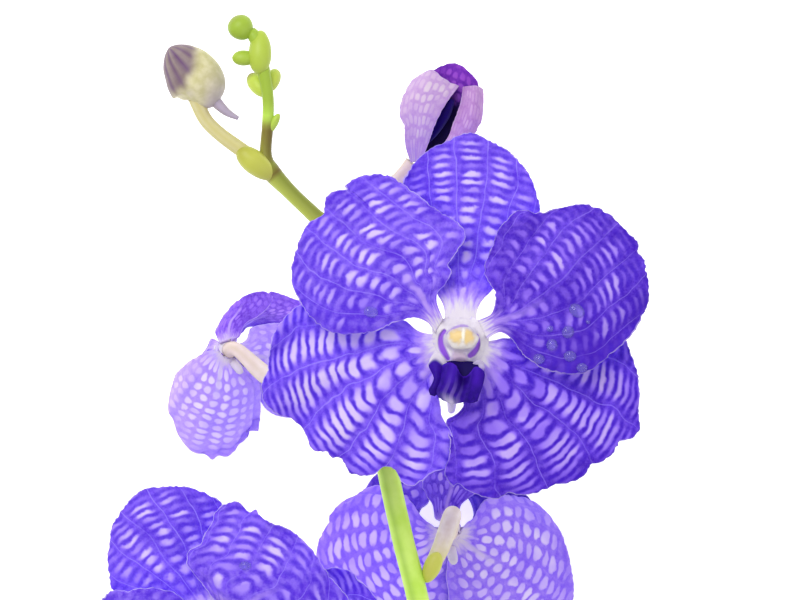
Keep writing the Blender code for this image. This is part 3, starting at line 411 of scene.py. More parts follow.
# Ends of the claws round the middle of a bloom.
frontClaws = {
    "dorsal_sepal": ((-3.9, 5.75), (4.1, 5.75)),
    "petal_left": ((-6.25, 3.0), (-4.25, 6.5)),
    "petal_right": ((4.5, 6.2), (6.75, 1.4)),
    "lateral_sepal_left": ((-3.0, -5.0), (-6.5, 2.7)),
    "lateral_sepal_right": ((6.75, 1.0), (2.75, -5.0)),
}
backClaws = {
    "dorsal_sepal": ((-2.2, 4.0), (2.2, 4.0)),
    "petal_left": ((-4.5, 1.9), (-4.5, 0.1)),
    "petal_right": ((4.4, 0.1), (4.4, 1.9)),
    "lateral_sepal_left": ((0.4, -3.0), (-3.9, -0.3)),
    "lateral_sepal_right": ((3.9, -0.3), (-0.2, -3.0)),
}

# Each blade as seen: from its claw out along one edge, round its rim, and back in.
frontOutlines = {
    "dorsal_sepal": (
        [(-4, 9.25), (-5.5, 12.25), (-9, 16.75), (-13.25, 23.75), (-16, 30.75)],
        [(-16.25, 36.25), (-14.5, 40.75), (-11.75, 45.5), (-8, 48.75), (-3.75, 51), (0, 52.75), (3, 53.25),
         (6.25, 51.75), (10, 50), (14.25, 46.75), (17.75, 42), (19.75, 36.25)],
        [(20, 30.75), (17.5, 24.25), (13, 18.25), (8.75, 14.25), (5.5, 11), (4.25, 8.25)]),
    "petal_left": (
        [(-8, 5.5), (-11.25, 6.75), (-15.75, 5.75), (-20.75, 3.5), (-27, 2.5), (-32.5, 3.25), (-37, 6.25)],
        [(-40, 10.5), (-42.25, 16.25), (-41.75, 21.75), (-39.75, 27.5), (-37.5, 31), (-34.5, 32.75),
         (-33.5, 37.25), (-30.5, 38.75), (-28.25, 39), (-28.75, 40), (-26.25, 41.75), (-21.25, 43),
         (-17, 42.25)],
        [(-12, 38.75), (-5, 33.5), (-0.5, 30.75), (1.5, 28.25), (1.25, 26.25), (0, 24.25), (-2.5, 20.5),
         (-2, 18.25), (-3.75, 15), (-5.5, 13.25), (-5.75, 10.5)]),
    "petal_right": (
        [(7.5, 7.5), (8.5, 9.5), (8.75, 12), (7.75, 14.75), (6.25, 17.25), (6, 19.25), (6.75, 22.25),
         (8, 24.75), (9.25, 28.25), (11.5, 31.25), (13.75, 33.25)],
        [(15.5, 34), (20.25, 33.4), (24.5, 34.25), (30.5, 35.4), (34.5, 34.5), (38.25, 32.25), (40.25, 30),
         (44.25, 26.25), (44.75, 24.5), (44.5, 23.25), (46.25, 21.25), (47, 17.5), (47.4, 12.5),
         (46.5, 8.75), (44, 4)],
        [(41.5, 0.75), (36, -4), (32, -6.75), (27.5, -7.4), (23, -6.75), (18.75, -5), (15.5, -2.25),
         (13.25, 1), (11.25, 2.75), (9.5, 3.1)]),
    "lateral_sepal_left": (
        [(-4.75, -10), (-5, -13.25), (-4.75, -15.75), (-4, -18.75), (-3, -23.75), (-2.5, -27.5)],
        [(-2.75, -30.25), (-4.5, -31.25), (-7.75, -32.5), (-9.75, -34.5), (-12.25, -35.4), (-14.5, -34.5),
         (-15.75, -32), (-17.5, -30.5), (-19.25, -30.75), (-21.5, -32.4), (-24.25, -32.9), (-27.5, -32.1),
         (-28.75, -30), (-30.5, -28.1), (-32, -28.25), (-33.5, -26.9), (-36, -26.75), (-37.75, -25.25),
         (-38.25, -23.25), (-40, -20.5), (-42.5, -18.4), (-45.5, -17.5), (-48.5, -15), (-49.9, -11.5),
         (-49.25, -8.75), (-48.25, -6.25), (-48, -2.5), (-47, 2), (-45, 5.75)],
        [(-40.25, 10), (-34, 11.5), (-27, 10.75), (-20, 9), (-14.5, 6.6), (-12.5, 5.25), (-10.75, 3.75),
         (-8.75, 3)]),
    "lateral_sepal_right": (
        [(8.75, 1.25), (10.75, 1.75), (13, 1.75), (17.5, 2.5), (23.75, 3.75), (31.25, 4.75), (37.5, 4.25)],
        [(41.75, 1), (43, -2.5), (44.5, -6.75), (45, -11.75), (44.75, -16.25), (45.1, -20.5), (44, -22.75),
         (42, -23.75), (40.25, -24.25), (38, -27.5), (35.5, -29.25), (32.75, -30.25), (31, -32.75),
         (27.5, -34.5), (23.75, -35), (21.25, -36.5), (17.5, -37.4), (14.5, -37.6), (12.25, -36.9),
         (10.75, -37.75), (9, -38.6), (5.75, -38), (2, -36.5), (-0.75, -34.9), (-1.75, -35.6),
         (-3.25, -33.75)],
        [(-4, -31.5), (-2.75, -27.5), (-3, -22.5), (-3.5, -18.9), (-1.5, -17.6), (0.25, -16), (1, -13.5),
         (1.75, -10.5)]),
}
lowerOutlines = {
    "dorsal_sepal": (
        [(-9, 6.5), (-17, 9), (-24, 11)],
        [(-26.75, 13.25), (-27.5, 17.25), (-27.75, 21.5), (-27.25, 25), (-26.5, 29.25), (-24.25, 33),
         (-21.75, 36), (-18.75, 38.25), (-14, 39), (-8.75, 39), (-4, 37.75), (-0.5, 36)],
        [(1.25, 34.5), (3.5, 29), (3, 20), (2, 11)]),
    "petal_left": (
        [(-8.5, -6), (-12.5, -11.5), (-18.5, -17), (-25, -20.5)],
        [(-30, -21), (-35, -18), (-38, -14.5), (-40.5, -8.5), (-40, -2), (-37, 4), (-34.5, 6.5),
         (-31.5, 8.5), (-29.25, 10.5)],
        [(-26.75, 13), (-23.5, 13), (-17.25, 13.75), (-13, 13.25), (-11, 12.5), (-8.5, 10.5), (-7.5, 7)]),
    "petal_right": (
        [(0.5, 9), (-1, 10.5), (-3.5, 13.75), (-6.25, 17.25), (-8, 19.75), (-7.5, 22.75), (-4.5, 24.5),
         (-3.5, 27), (-1.5, 30), (-1, 32.25)],
        [(1.25, 34.5), (3.75, 35.25), (5.75, 34.75), (7.5, 32.75), (9.5, 33.25), (10.5, 31.75), (13.25, 30),
         (16.75, 28.75), (19.75, 27), (22.25, 24.5), (24.5, 22), (28.25, 16.25), (32.5, 11.25),
         (34.5, 6)],
        [(34.5, 0), (31, -4.5), (24, -5.5), (16, -3), (10, 1)]),
}
backOutlines = {
    "dorsal_sepal": (
        [(-3.6, 3.2), (-4, 5), (-4.4, 6.8), (-6, 9), (-7, 12.5), (-4, 18), (1, 22.5)],
        [(5.5, 27), (6.5, 32), (8.5, 37), (12.5, 41), (18, 43), (23.5, 42), (27.5, 38), (29, 32)],
        [(27.5, 26), (22.5, 19), (15, 13.5), (7.5, 10.2), (3.4, 7.4), (2.4, 5.6)]),
    "petal_left": (
        [(-5.6, 1.2), (-7.2, 1.7), (-7.7, 3.6), (-7.2, 5.8), (-5.2, 7.8), (-6, 12)],
        [(-10, 15.5), (-14, 16.5), (-18.5, 14.5), (-22, 10), (-25.5, 5), (-28.5, -2), (-29, -9)],
        [(-26, -15), (-19, -14), (-12, -9), (-6, -3.5)]),
    "petal_right": (
        [(6, -3.5), (12, -9), (18, -14), (24, -15.5)],
        [(27.5, -9.5), (27, -3), (24, 3.5), (20.5, 8), (16, 11.5), (12, 14.5), (8, 14.5)],
        [(4.6, 12.5), (3.4, 10), (4.6, 8.4), (5.7, 5.8), (5.7, 3.6), (5.2, 2.2)]),
    "lateral_sepal_left": (
        [(1.4, -5.5), (2, -8.5), (2.2, -12), (2, -24), (1, -30)],
        [(-1, -33.5), (-6, -35), (-11, -33.5), (-16, -34), (-21, -32.5), (-26, -30), (-30, -25), (-33, -19),
         (-34, -12), (-33.25, -4.25), (-32.25, -0.75), (-30.5, 2), (-30, 4.25), (-27, 7.5), (-25.5, 7.25),
         (-22.5, 10)],
        [(-19, 11.75), (-13.5, 10.5), (-9.6, 7.5), (-7.9, 5), (-6.2, 3), (-4.6, 1.9)]),
    "lateral_sepal_right": (
        [(4.2, 2.4), (5.6, 3.4), (6.8, 5.4), (8.6, 8), (13, 9.4)],
        [(19.5, 8.5), (22.5, 6.5), (26.25, 2.5), (28.5, -1.75), (30.25, -8), (31, -15), (30, -21),
         (27, -26), (22, -29.5), (18, -32), (13, -33), (9, -35), (4, -34.5), (0, -33)],
        [(-1.2, -30), (-1.2, -24), (-0.4, -16), (-1, -12), (-0.9, -8.5), (-0.4, -5.5)]),
}
sideOutlines = {
    "dorsal_sepal": (
        [(-3.2, 4.4), (-2.3, 6.4)],
        [(-1.2, 8.5), (1.5, 11.7), (5.1, 14), (8.8, 14.7), (11.4, 13.4)],
        [(10.2, 10.8), (7.6, 8.4), (4.8, 6.8), (3.4, 4.8), (2.8, 3.2)]),
    "petal_left": (
        [(-4.6, -2.2), (-5.4, -4)],
        [(-6.4, -4.6), (-6.9, -2.4), (-6.2, -0.6), (-4.9, 0.6)],
        [(-4.4, 2), (-4, 3)]),
    "petal_right": (
        [(3.3, 4.4), (4.2, 5.5), (6, 5.9), (9, 5.8), (13.5, 4.5), (18.5, 3.5)],
        [(24, 4.5), (25.5, 8), (22.5, 11), (18.5, 12.2), (16, 13), (13, 14.1), (10.6, 14.6)],
        [(8, 12.6), (5, 9.8), (2.8, 7.2)]),
    "lateral_sepal_left": (
        [(1.6, -2), (3.6, -3.8), (6, -6), (7.8, -7.8), (8.3, -10.5), (8.2, -14), (8.1, -17.5)],
        [(7.6, -20.3), (4.7, -20.5), (5, -22), (2.75, -23.75), (1.75, -25.25), (-0.25, -26.75),
         (-2.25, -26.5), (-4, -27.5), (-5.5, -26.25), (-8, -25.75), (-10, -24.5), (-12.5, -21),
         (-13.75, -17.25), (-15, -15), (-14.25, -9.75), (-13.25, -6.25)],
        [(-9.8, -2.9), (-6.6, -1), (-5, -0.2)]),
    "lateral_sepal_right": (
        [(3.4, 1.8), (4.6, 2.6), (5.1, 3.9), (6.2, 5.8), (12, 6.8)],
        [(18, 5.6), (24, 2.5), (28, -2.5), (29, -8), (27, -13), (21.5, -16), (16, -17), (11.8, -16.4)],
        [(9.4, -14.6), (7.2, -11.6), (5.2, -9), (4.2, -6)]),
}

# Heights over a blade: claw, rim, arch, lift of both edges, lean, and the rim's waves: their height,
# their number and their phase.
frontRelief = {
    "dorsal_sepal": (-0.8, -3.0, -0.6, 0.5, 0.0, 0.9, 2.5, 0.5),
    "petal_left": (0.8, 3.6, 2.4, -0.8, 0.0, 1.1, 3.0, 2.0),
    "petal_right": (0.8, 3.4, 2.2, -0.4, 0.0, 1.1, 3.0, 0.4),
    "lateral_sepal_left": (-0.8, -3.4, -0.8, 0.0, 1.6, 1.2, 4.5, 0.0),
    "lateral_sepal_right": (-0.8, -3.4, -0.8, 0.0, 1.6, 1.2, 4.5, 3.0),
}
lowerRelief = {
    "dorsal_sepal": (-0.8, -4.0, -0.6, 0.5, 0.0, 0.8, 2.5, 1.5),
    "petal_left": (0.8, 2.6, 2.0, -0.6, 0.0, 0.9, 3.0, 1.0),
    "petal_right": (0.8, 4.4, 2.6, 0.0, 0.0, 0.8, 3.0, 2.6),
    "lateral_sepal_left": (-0.8, -6.0, -0.8, 0.0, 1.6, 1.2, 4.0, 1.0),
    "lateral_sepal_right": (-0.8, -6.0, -0.8, 0.0, 1.6, 1.2, 4.0, 2.0),
}
backRelief = {
    "dorsal_sepal": (-0.8, 37.0, -1.0, 0.0, 0.0, 0.6, 2.0, 0.0),
    "petal_left": (1.3, 29.0, 1.5, 0.0, 0.0, 0.4, 2.0, 0.0),
    "petal_right": (1.4, 29.0, 1.5, 0.0, 0.0, 0.4, 2.0, 1.0),
    "lateral_sepal_left": (-0.8, 22.5, -2.5, 0.0, -5.0, 0.8, 3.5, 1.0),
    "lateral_sepal_right": (-0.8, 21.0, -2.5, 0.0, -5.0, 0.8, 3.5, 0.0),
}
sideRelief = {
    "dorsal_sepal": (-0.8, 6.0, 0.0, 1.0, 0.0, 0.6, 1.5, 0.0),
    "petal_left": (0.8, 22.0, 0.0, 0.0, 0.0, 0.4, 1.5, 0.0),
    "petal_right": (0.8, 19.0, 1.5, 1.0, 0.0, 0.6, 2.0, 0.0),
    "lateral_sepal_left": (-0.8, 31.0, -9.0, 0.0, 0.0, 0.8, 3.5, 0.0),
    "lateral_sepal_right": (-0.8, 15.0, 2.0, 0.0, 13.0, 0.8, 2.0, 0.0),
}


# places a point given for the front bloom on another bloom
def forBloom(bloom, x, y):
    side = x * bloom["faces"]
    turn = math.radians(bloom["turn"])
    flat = 1 / math.hypot(1.0, bloom["fall"])
    return (bloom["size"] * flat * (side * math.cos(turn) - y * math.sin(turn)),
            bloom["size"] * (side * math.sin(turn) + y * math.cos(turn)))


# claws of the front bloom, placed on another; one that faces down has left and right changed over
def clawsForBloom(bloom, reach):
    swapped = {"left": "right", "right": "left"}
    claws = {}
    for part, ends in frontClaws.items():
        kind, _, side = part.rpartition("_")
        own = f"{kind}_{swapped[side]}" if bloom["faces"] < 0 and side in swapped else part
        claws[own] = [forBloom(bloom, x * reach, y * reach) for x, y in ends]
    return claws


# height over a blade, u from its first edge to its last and v from claw to rim
def reliefAt(relief, u, v):
    claw, rim, arch, cup, lean, wave, waves, phase = relief
    rimWave = wave * math.sin(2 * math.pi * waves * u + phase)
    return (claw + (rim - claw) * v + arch * math.sin(math.pi * v) + cup * (2 * u - 1) ** 2 * v
            + lean * (u - 0.5) * v + rimWave * v ** 3)


# ruffles and crinkles of a rim and the swell of a blade; a blade thins to thinRim of its thickness
# over thinDepth, and its pattern starts at clawFoot from the bloom's middle
ruffles = {"rimHeight": 0.55, "rimLength": 3.2, "rimDepth": 2.6, "swell": 0.7, "swellLength": 13.0,
           "crinkle": 0.45, "crinkleLength": 1.8, "crinkleDepth": 1.4, "marginPoints": 600,
           "thinRim": 0.35, "thinDepth": 3.0, "clawFoot": 5.0, "clawSpread": 3.0}
surfaces = {}       # what the water drops lie on


# A blade is a flat grid whose points are moved to their places between claw, two edges and rim,
# then ruffled towards its margin. It keeps the places that its pattern needs as attributes.
def blade(name, bloom, claw, outline, relief, materials):
    middle, height, faces, size = [bloom[key] for key in ("middle", "height", "faces", "size")]
    columns, rows = [max(int(count * detail), 8) for count in bloom["grid"]]
    out, rimPoints, back = outline
    outEdge = along([claw[0]] + out + [rimPoints[0]], rows + 1)
    backEdge = along([claw[1]] + back[::-1] + [rimPoints[-1]], rows + 1)
    rim = along(rimPoints, columns + 1)
    foot = [Vector(claw[0]).lerp(Vector(claw[1]), index / columns) for index in range(columns + 1)]
    tree = kdtree.KDTree(ruffles["marginPoints"])
    for index, point in enumerate(along(out + rimPoints + back, ruffles["marginPoints"])):
        tree.insert(point.to_3d(), index)
    tree.balance()
    inside = outEdge[rows * 2 // 3].lerp(backEdge[rows * 2 // 3], 0.5)
    seed = Vector((sum(map(ord, name)) % 97, 0.0, 0.0))
    bm = bmesh.new()
    layers = {key: bm.verts.layers.float.new(key) for key in ("across", "reach", "spread", "margin")}
    thickness = bm.verts.layers.deform.new()
    bmesh.ops.create_grid(bm, x_segments=columns, y_segments=rows, size=0.5)
    for vert in bm.verts:
        u, v = vert.co.x + 0.5, vert.co.y + 0.5
        row = round(v * rows)
        point = patchPoint(outEdge, backEdge, foot, rim, u, v)
        flat = point.to_3d()
        margin = tree.find(flat)[2]
        free = smooth(0.1, 0.3, v)
        crinkled = abs(noise.noise(flat / ruffles["crinkleLength"] + seed))
        shrink = ruffles["crinkle"] * size * crinkled * math.exp(-margin / ruffles["crinkleDepth"])
        point += (inside - point).normalized() * 2 * shrink * free
        ruffle = noise.noise(flat / ruffles["rimLength"] + seed) * math.exp(-margin / ruffles["rimDepth"])
        swell = noise.noise(flat / ruffles["swellLength"] + seed)
        lift = faces * reliefAt(relief, u, v) - bloom["fall"] * point.x
        lift += free * size * (ruffles["swell"] * swell + 2 * ruffles["rimHeight"] * ruffle)
        level = max(height + lift, build["blade"] / 2)
        vert.co = seenAt(middle[0] + point.x, middle[1] + point.y, level) * mm
        vert[layers["across"]] = u
        vert[layers["reach"]] = max(point.length / size - ruffles["clawFoot"], 0.1)
        vert[layers["spread"]] = (outEdge[row] - backEdge[row]).length / size + ruffles["clawSpread"]
        vert[layers["margin"]] = margin
        thinned = smooth(0.0, ruffles["thinDepth"], margin)
        vert[thickness][0] = ruffles["thinRim"] + (1 - ruffles["thinRim"]) * thinned
    bmesh.ops.recalc_face_normals(bm, faces=bm.faces)
    if sum(face.normal.z for face in bm.faces) < 0:
        bmesh.ops.reverse_faces(bm, faces=bm.faces)
    surfaces[name] = bvhtree.BVHTree.FromBMesh(bm)
    obj = addPiece(name + "_skin", bm, materials if faces > 0 else materials[::-1], "tepal", name)
    obj.vertex_groups.new(name="thickness")
    thicken(obj, build["blade"], "thickness")


# middle of a bloom, with z towards the side it faces
def bloomFrame(bloom):
    size = bloom["size"] * (1.0 + (view["frontHeight"] - bloom["height"]) / view["eyeDistance"])
    facing = Matrix.Rotation(math.pi, 4, "Y") if bloom["faces"] < 0 else Matrix.Identity(4)
    tipped = Matrix.Rotation(math.atan(bloom["fall"]), 4, "Y")
    turned = Matrix.Rotation(math.radians(bloom["turn"]) * bloom["faces"], 4, "Z")
    place = Matrix.Translation(seenAt(*bloom["middle"], bloom["height"]))
    return place @ tipped @ facing @ turned @ Matrix.Diagonal((size, size, size, 1.0))


# how close a point is to an arc of (x, y, half width) points: 1 on it, 0 off it
def onArc(point, arc):
    nearest = min((point - Vector(at[:2])).length / at[2] for at in arc)
    return 1.0 - smooth(0.6, 1.25, nearest)


# Column and the disc round its foot: white and waxy, with purple arcs between it and the disc.
columnShape = {
    # round its foot, over the claws: x, y and height
    "rim": [(-4.0, 6.6, 0.0), (-2.2, 7.3, -0.7), (0.1, 7.6, -0.7), (2.4, 7.3, -0.7), (4.5, 6.3, 0.1),
            (6.2, 5.4, 0.9), (7.0, 3.4, 0.9), (7.2, 1.2, 0.0), (6.8, -1.4, -0.7), (5.4, -4.4, -0.7),
            (2.9, -5.8, -0.7), (0.0, -5.3, -0.8), (-3.1, -5.8, -0.7), (-5.4, -4.2, -0.7), (-6.5, -1.4, -0.7),
            (-6.9, 2.6, 0.0), (-6.9, 4.3, 0.9), (-5.8, 6.0, 0.9)],
    "discTop": 1.7, "discBottom": -1.2, "headMiddle": (0.4, 1.6), "headRadius": (4.1, 3.0), "headHeight": 4.9,
    "leftArc": [(-3.9, 3.5, 0.5), (-4.7, 2.3, 0.6), (-4.8, 0.4, 0.75), (-4.2, -1.4, 0.85),
                (-3.0, -3.4, 0.55)],
    "rightArc": [(4.3, 2.7, 0.2), (4.6, 1.0, 0.45), (4.3, -0.6, 0.6), (3.4, -1.9, 0.8), (2.5, -2.6, 0.7)],
    "topArc": [(-3.2, 2.9, 0.3), (-1.5, 4.2, 0.4), (0.4, 4.8, 0.4), (1.8, 4.7, 0.3)],
    "stigma": [(-0.4, -1.6, 1.6), (-0.2, -3.4, 1.9)],
    "rimSteps": 361, "arcSteps": 24,
}
# Anther cap: a dome with a pouch of pollen at each side of a ridge; the lobes are middle and radius.
capShape = {"middle": (0.35, 1.7), "radius": (3.9, 2.95), "base": 6.3, "height": 1.7, "ridgeSteps": 16,
            "lobes": [((-0.9, 2.3), (2.1, 2.1)), ((2.0, 2.15), (1.8, 2.0))],
            "ridge": [(0.8, 4.0, 0.3), (0.72, 2.6, 0.42), (0.7, 1.2, 0.3)]}


def columnPiece(name, place, faces):
    shape = columnShape
    reach = 1.0 if faces > 0 else behindShare
    rim = [point * reach for point in along(shape["rim"] + shape["rim"][:1], shape["rimSteps"])]
    arcs = {key: along(shape[key], shape["arcSteps"]) for key in ("leftArc", "rightArc", "topArc", "stigma")}
    bm = bmesh.new()
    layers = {key: bm.verts.layers.float.new(key) for key in ("purple", "pink", "hollow", "lilac")}
    bmesh.ops.create_icosphere(bm, subdivisions=6 if detail == 1.0 and faces > 0 else 5, radius=1.0)
    for vert in bm.verts:
        direction = vert.co.copy()
        angle = math.atan2(direction.y, direction.x)
        edge = min(rim, key=lambda point: abs((math.atan2(point.y, point.x) - angle + math.pi)
                                              % (2 * math.pi) - math.pi))
        share = math.hypot(direction.x, direction.y)
        point = edge.to_2d() * share
        head = Vector(((point.x - shape["headMiddle"][0]) / shape["headRadius"][0],
                       (point.y - shape["headMiddle"][1]) / shape["headRadius"][1])).length
        marks = {key: onArc(point, arc) for key, arc in arcs.items()}
        outer = smooth(0.5, 1.0, share)
        if direction.z > 0:
            z = shape["discTop"] + (edge.z - shape["discTop"]) * outer
            z += shape["headHeight"] * (1 - smooth(0.7, 1.2, head))
            z += 1.2 * marks["stigma"] * smooth(0.95, 1.15, head)
            z -= 0.7 * max(marks["leftArc"], marks["rightArc"])
        else:
            z = shape["discBottom"] + (edge.z - 0.08 - shape["discBottom"]) * smooth(0.75, 1.0, share)
        vert.co = (place @ Vector((point.x, point.y, z))) * mm
        streak = noise.noise(Vector((14 * math.cos(angle), 14 * math.sin(angle), 0.8 * share)))
        vert[layers["lilac"]] = 0.4 * smooth(-0.1, 0.35, streak) * smooth(0.85, 1.0, share)
        seen = 0.9 if direction.z > 0 else 0.0
        vert[layers["purple"]] = seen * max(marks["leftArc"], marks["rightArc"], 0.6 * marks["topArc"])
        vert[layers["pink"]] = 0.5 * marks["stigma"] * smooth(0.0, -4.0, point.y) if point.y < 0 else 0.0
        # painted shade in the stigma's hollow
        vert[layers["hollow"]] = 0.35 * marks["stigma"] * smooth(-1.0, -2.2, point.y) if point.y < -1 else 0.0
    bmesh.ops.recalc_face_normals(bm, faces=bm.faces)
    addPiece(name + "_column_skin", bm, [columnWax], "column", name + "_column")


def capPiece(name, place):
    shape = capShape
    bm = bmesh.new()
    ridge = along(shape["ridge"], shape["ridgeSteps"])
    layers = {key: bm.verts.layers.float.new(key) for key in ("yellow", "ridge")}
    bmesh.ops.create_icosphere(bm, subdivisions=5, radius=1.0)
    for vert in bm.verts:
        bumpy = 1.0 + 0.16 * noise.noise(Vector((1.6 * vert.co.x, 1.6 * vert.co.y, 4.0)))
        x, y = [shape["middle"][axis] + shape["radius"][axis] * bumpy * vert.co[axis] for axis in (0, 1)]
        pouch = 0.0
        for middle, radius in shape["lobes"]:
            away = Vector(((x - middle[0]) / radius[0], (y - middle[1]) / radius[1])).length
            away += 0.35 * noise.noise(Vector((x, y, 0.0)))
            pouch = max(pouch, 1 - smooth(0.5, 1.15, away))
        onRidge = onArc(Vector((x, y)), ridge)
        raised = 0.35 * pouch + 0.3 * onRidge if vert.co.z > 0 else 0.0
        vert.co = (place @ Vector((x, y, shape["base"] + vert.co.z * shape["height"] + raised))) * mm
        vert[layers["yellow"]] = 0.85 * pouch
        vert[layers["ridge"]] = 0.9 * onRidge
    bmesh.ops.recalc_face_normals(bm, faces=bm.faces)
    addPiece(name + "_anther_cap_skin", bm, [antherWax], "anther_cap", name + "_anther_cap")


# Lip: a middle lobe with two shoulders and a notch, the throat behind them, painted dark as shade, two
# side lobes with pale curled tops, and the spur. Each lobe lies between a near, a far and two side curves.
lipLobes = {
    "middle": {"near": [(-4.25, -5.0), (-2.8, -4.3), (-1.1, -5.0), (-0.5, -6.6), (0.3, -7.7), (1.0, -7.9),
                        (2.1, -7.4), (3.4, -5.6), (4.5, -5.5), (5.75, -6.6)],
               "far": [(-5.2, -13.0), (-3.5, -14.0), (-2.1, -14.4), (-0.6, -14.4), (1.0, -14.1), (2.8, -14.3),
                       (4.2, -13.9)],
               "first": [(-4.25, -5.0), (-4.9, -9.0), (-5.9, -11.4), (-5.2, -13.0)],
               "last": [(5.75, -6.6), (5.95, -7.6), (5.5, -9.9), (4.7, -12.4), (4.2, -13.9)],
               "grid": (56, 44)},
    "throat": {"near": [(-3.6, -4.3), (-2.0, -4.0), (0.4, -4.2), (2.6, -4.1), (4.4, -4.6)],
               "far": [(-4.0, -6.4), (-2.4, -6.8), (0.4, -8.6), (2.6, -7.8), (5.0, -7.0)],
               "first": [(-3.6, -4.3), (-3.9, -5.3), (-4.0, -6.4)],
               "last": [(4.4, -4.6), (4.8, -5.8), (5.0, -7.0)], "grid": (28, 12)},
    "left": {"near": [(-7.3, -3.4), (-6.4, -2.0), (-5.4, -1.8), (-4.2, -3.0), (-3.4, -4.4)],
             "far": [(-7.7, -11.2), (-7.5, -12.3), (-6.5, -12.6)],
             "first": [(-7.3, -3.4), (-7.7, -5.2), (-6.5, -7.6), (-6.5, -9.0), (-7.7, -11.2)],
             "last": [(-3.4, -4.4), (-3.8, -6.5), (-4.6, -9.0), (-5.2, -11.3), (-6.5, -12.6)],
             "grid": (24, 40)},
    "right": {"near": [(3.2, -4.6), (4.0, -3.9), (5.0, -3.8), (5.7, -4.4)],
              "far": [(4.2, -7.6), (5.0, -8.0), (5.7, -7.4)],
              "first": [(3.2, -4.6), (3.6, -6.0), (4.2, -7.6)],
              "last": [(5.7, -4.4), (5.95, -5.8), (5.7, -7.4)], "grid": (24, 28)},
}
lipShape = {"thickness": 0.5, "spurRings": 24, "spurSides": 16,
            "spur": [(-0.5, -6.9, -1.2, 1.9), (-0.8, -8.8, -3.4, 1.7), (-1.3, -11.5, -4.6, 1.5),
                     (-1.9, -14.2, -4.8, 1.25), (-2.1, -16.6, -4.4, 0.9), (-2.1, -17.2, -4.3, 0.4)],
            "shortSpur": [(-0.5, -6.9, -1.2, 2.0), (-0.8, -8.8, -3.4, 2.1), (-1.3, -11.0, -4.4, 1.9),
                          (-1.6, -12.4, -4.6, 1.2), (-1.7, -12.9, -4.6, 0.3)]}


# a hump of height 1 at a place, that falls away over a width
def hump(value, place, width):
    return math.exp(-((value - place) / width) ** 2)


# height over a lobe, u from its first side to its last and v from near to far
def lobeHeight(part, u, v):
    if part == "middle":
        shoulders = 0.7 * hump(u, 0.25, 0.16) + 0.8 * hump(u, 0.78, 0.14)
        groove = -1.1 * hump(u, 0.52, 0.1) * (1 - v) ** 1.5
        keels = 0.16 * math.cos(2 * math.pi * 6 * u) * smooth(0.3, 0.9, v)
        ruffled = 0.4 * math.sin(2 * math.pi * 3.4 * u + 0.4) * (1 - v) ** 1.3
        return (4.6 + 1.5 * math.sin(math.pi * (0.15 + 0.75 * v)) - (2 * u - 1) ** 2
                + shoulders * (1 - v) + groove + keels + ruffled)
    if part == "throat":
        return 2.4 + 1.6 * v - 0.8 * math.sin(math.pi * u)
    if part == "left":
        return 2.6 + 2.2 * v - 0.8 * (2 * u - 1) ** 2 + 0.9 * hump(v, 0.0, 0.14)
    return 2.2 + v - 0.8 * (2 * u - 1) ** 2 + 0.7 * hump(v, 0.0, 0.2)


# painted shade: dark in the middle lobe's groove and over the whole throat; painted highlight: bright on the
# middle lobe's shoulders and near edge. The left lobe is lighter at its near end and darker at its far end.
def lobeTints(part, u, v):
    if part == "middle":
        keel = smooth(0.35, 0.8, math.cos(2 * math.pi * (6 * u - 0.1)) * 0.5 + 0.5)
        keel *= hump(u, 0.33, 0.2) * smooth(0.15, 0.9, v)
        shoulder = (hump(u, 0.2, 0.1) + hump(u, 0.85, 0.12)) * (1 - smooth(0.3, 0.8, v))
        return {"dark": 0.9 * hump(u, 0.52, 0.14) * (1 - v) ** 1.5, "keel": 0.6 * keel,
                "bright": max(0.6 * shoulder, 0.8 * (1 - smooth(0.0, 0.1, v))),
                "pale": 0.7 * hump(u, 0.3, 0.14) * smooth(0.7, 1.0, v)}
    if part == "throat":
        return {"dark": 1.0}
    if part == "left":
        return {"dark": 0.4 * smooth(0.5, 0.9, v), "bright": 0.4 * (1 - v), "pale": 1 - smooth(0.1, 0.22, v)}
    return {"keel": 0.9, "pale": 0.7 * (1 - smooth(0.3, 0.7, v))}


def lipPiece(name, place, faces):
    bm = bmesh.new()
    layers = {key: bm.verts.layers.float.new(key) for key in ("dark", "keel", "bright", "pale")}
    for part, lobe in lipLobes.items():
        columns, rows = [max(int(count * detail), 6) for count in lobe["grid"]]
        near, far = along(lobe["near"], columns + 1), along(lobe["far"], columns + 1)
        first, last = along(lobe["first"], rows + 1), along(lobe["last"], rows + 1)
        for vert in bmesh.ops.create_grid(bm, x_segments=columns, y_segments=rows, size=0.5)["verts"]:
            u, v = vert.co.x + 0.5, vert.co.y + 0.5
            point = patchPoint(first, last, near, far, u, v)
            vert.co = (place @ Vector((point.x, point.y, lobeHeight(part, u, v)))) * mm
            for key, value in lobeTints(part, u, v).items():
                vert[layers[key]] = value
    bmesh.ops.reverse_faces(bm, faces=bm.faces)
    obj = addPiece(name + "_lip_skin", bm, [lipVelvet, lipUnderside], "lip", name + "_lip")
    thicken(obj, lipShape["thickness"])
    path = [(*(place @ Vector(point[:3])), point[3] * place.to_scale().x)
            for point in lipShape["spur" if faces > 0 else "shortSpur"]]
    tube(name + "_spur_skin", path, lipShape["spurRings"], lipShape["spurSides"], lipVelvet, "lip",
         lambda share, turn: {"pale": 0.95})


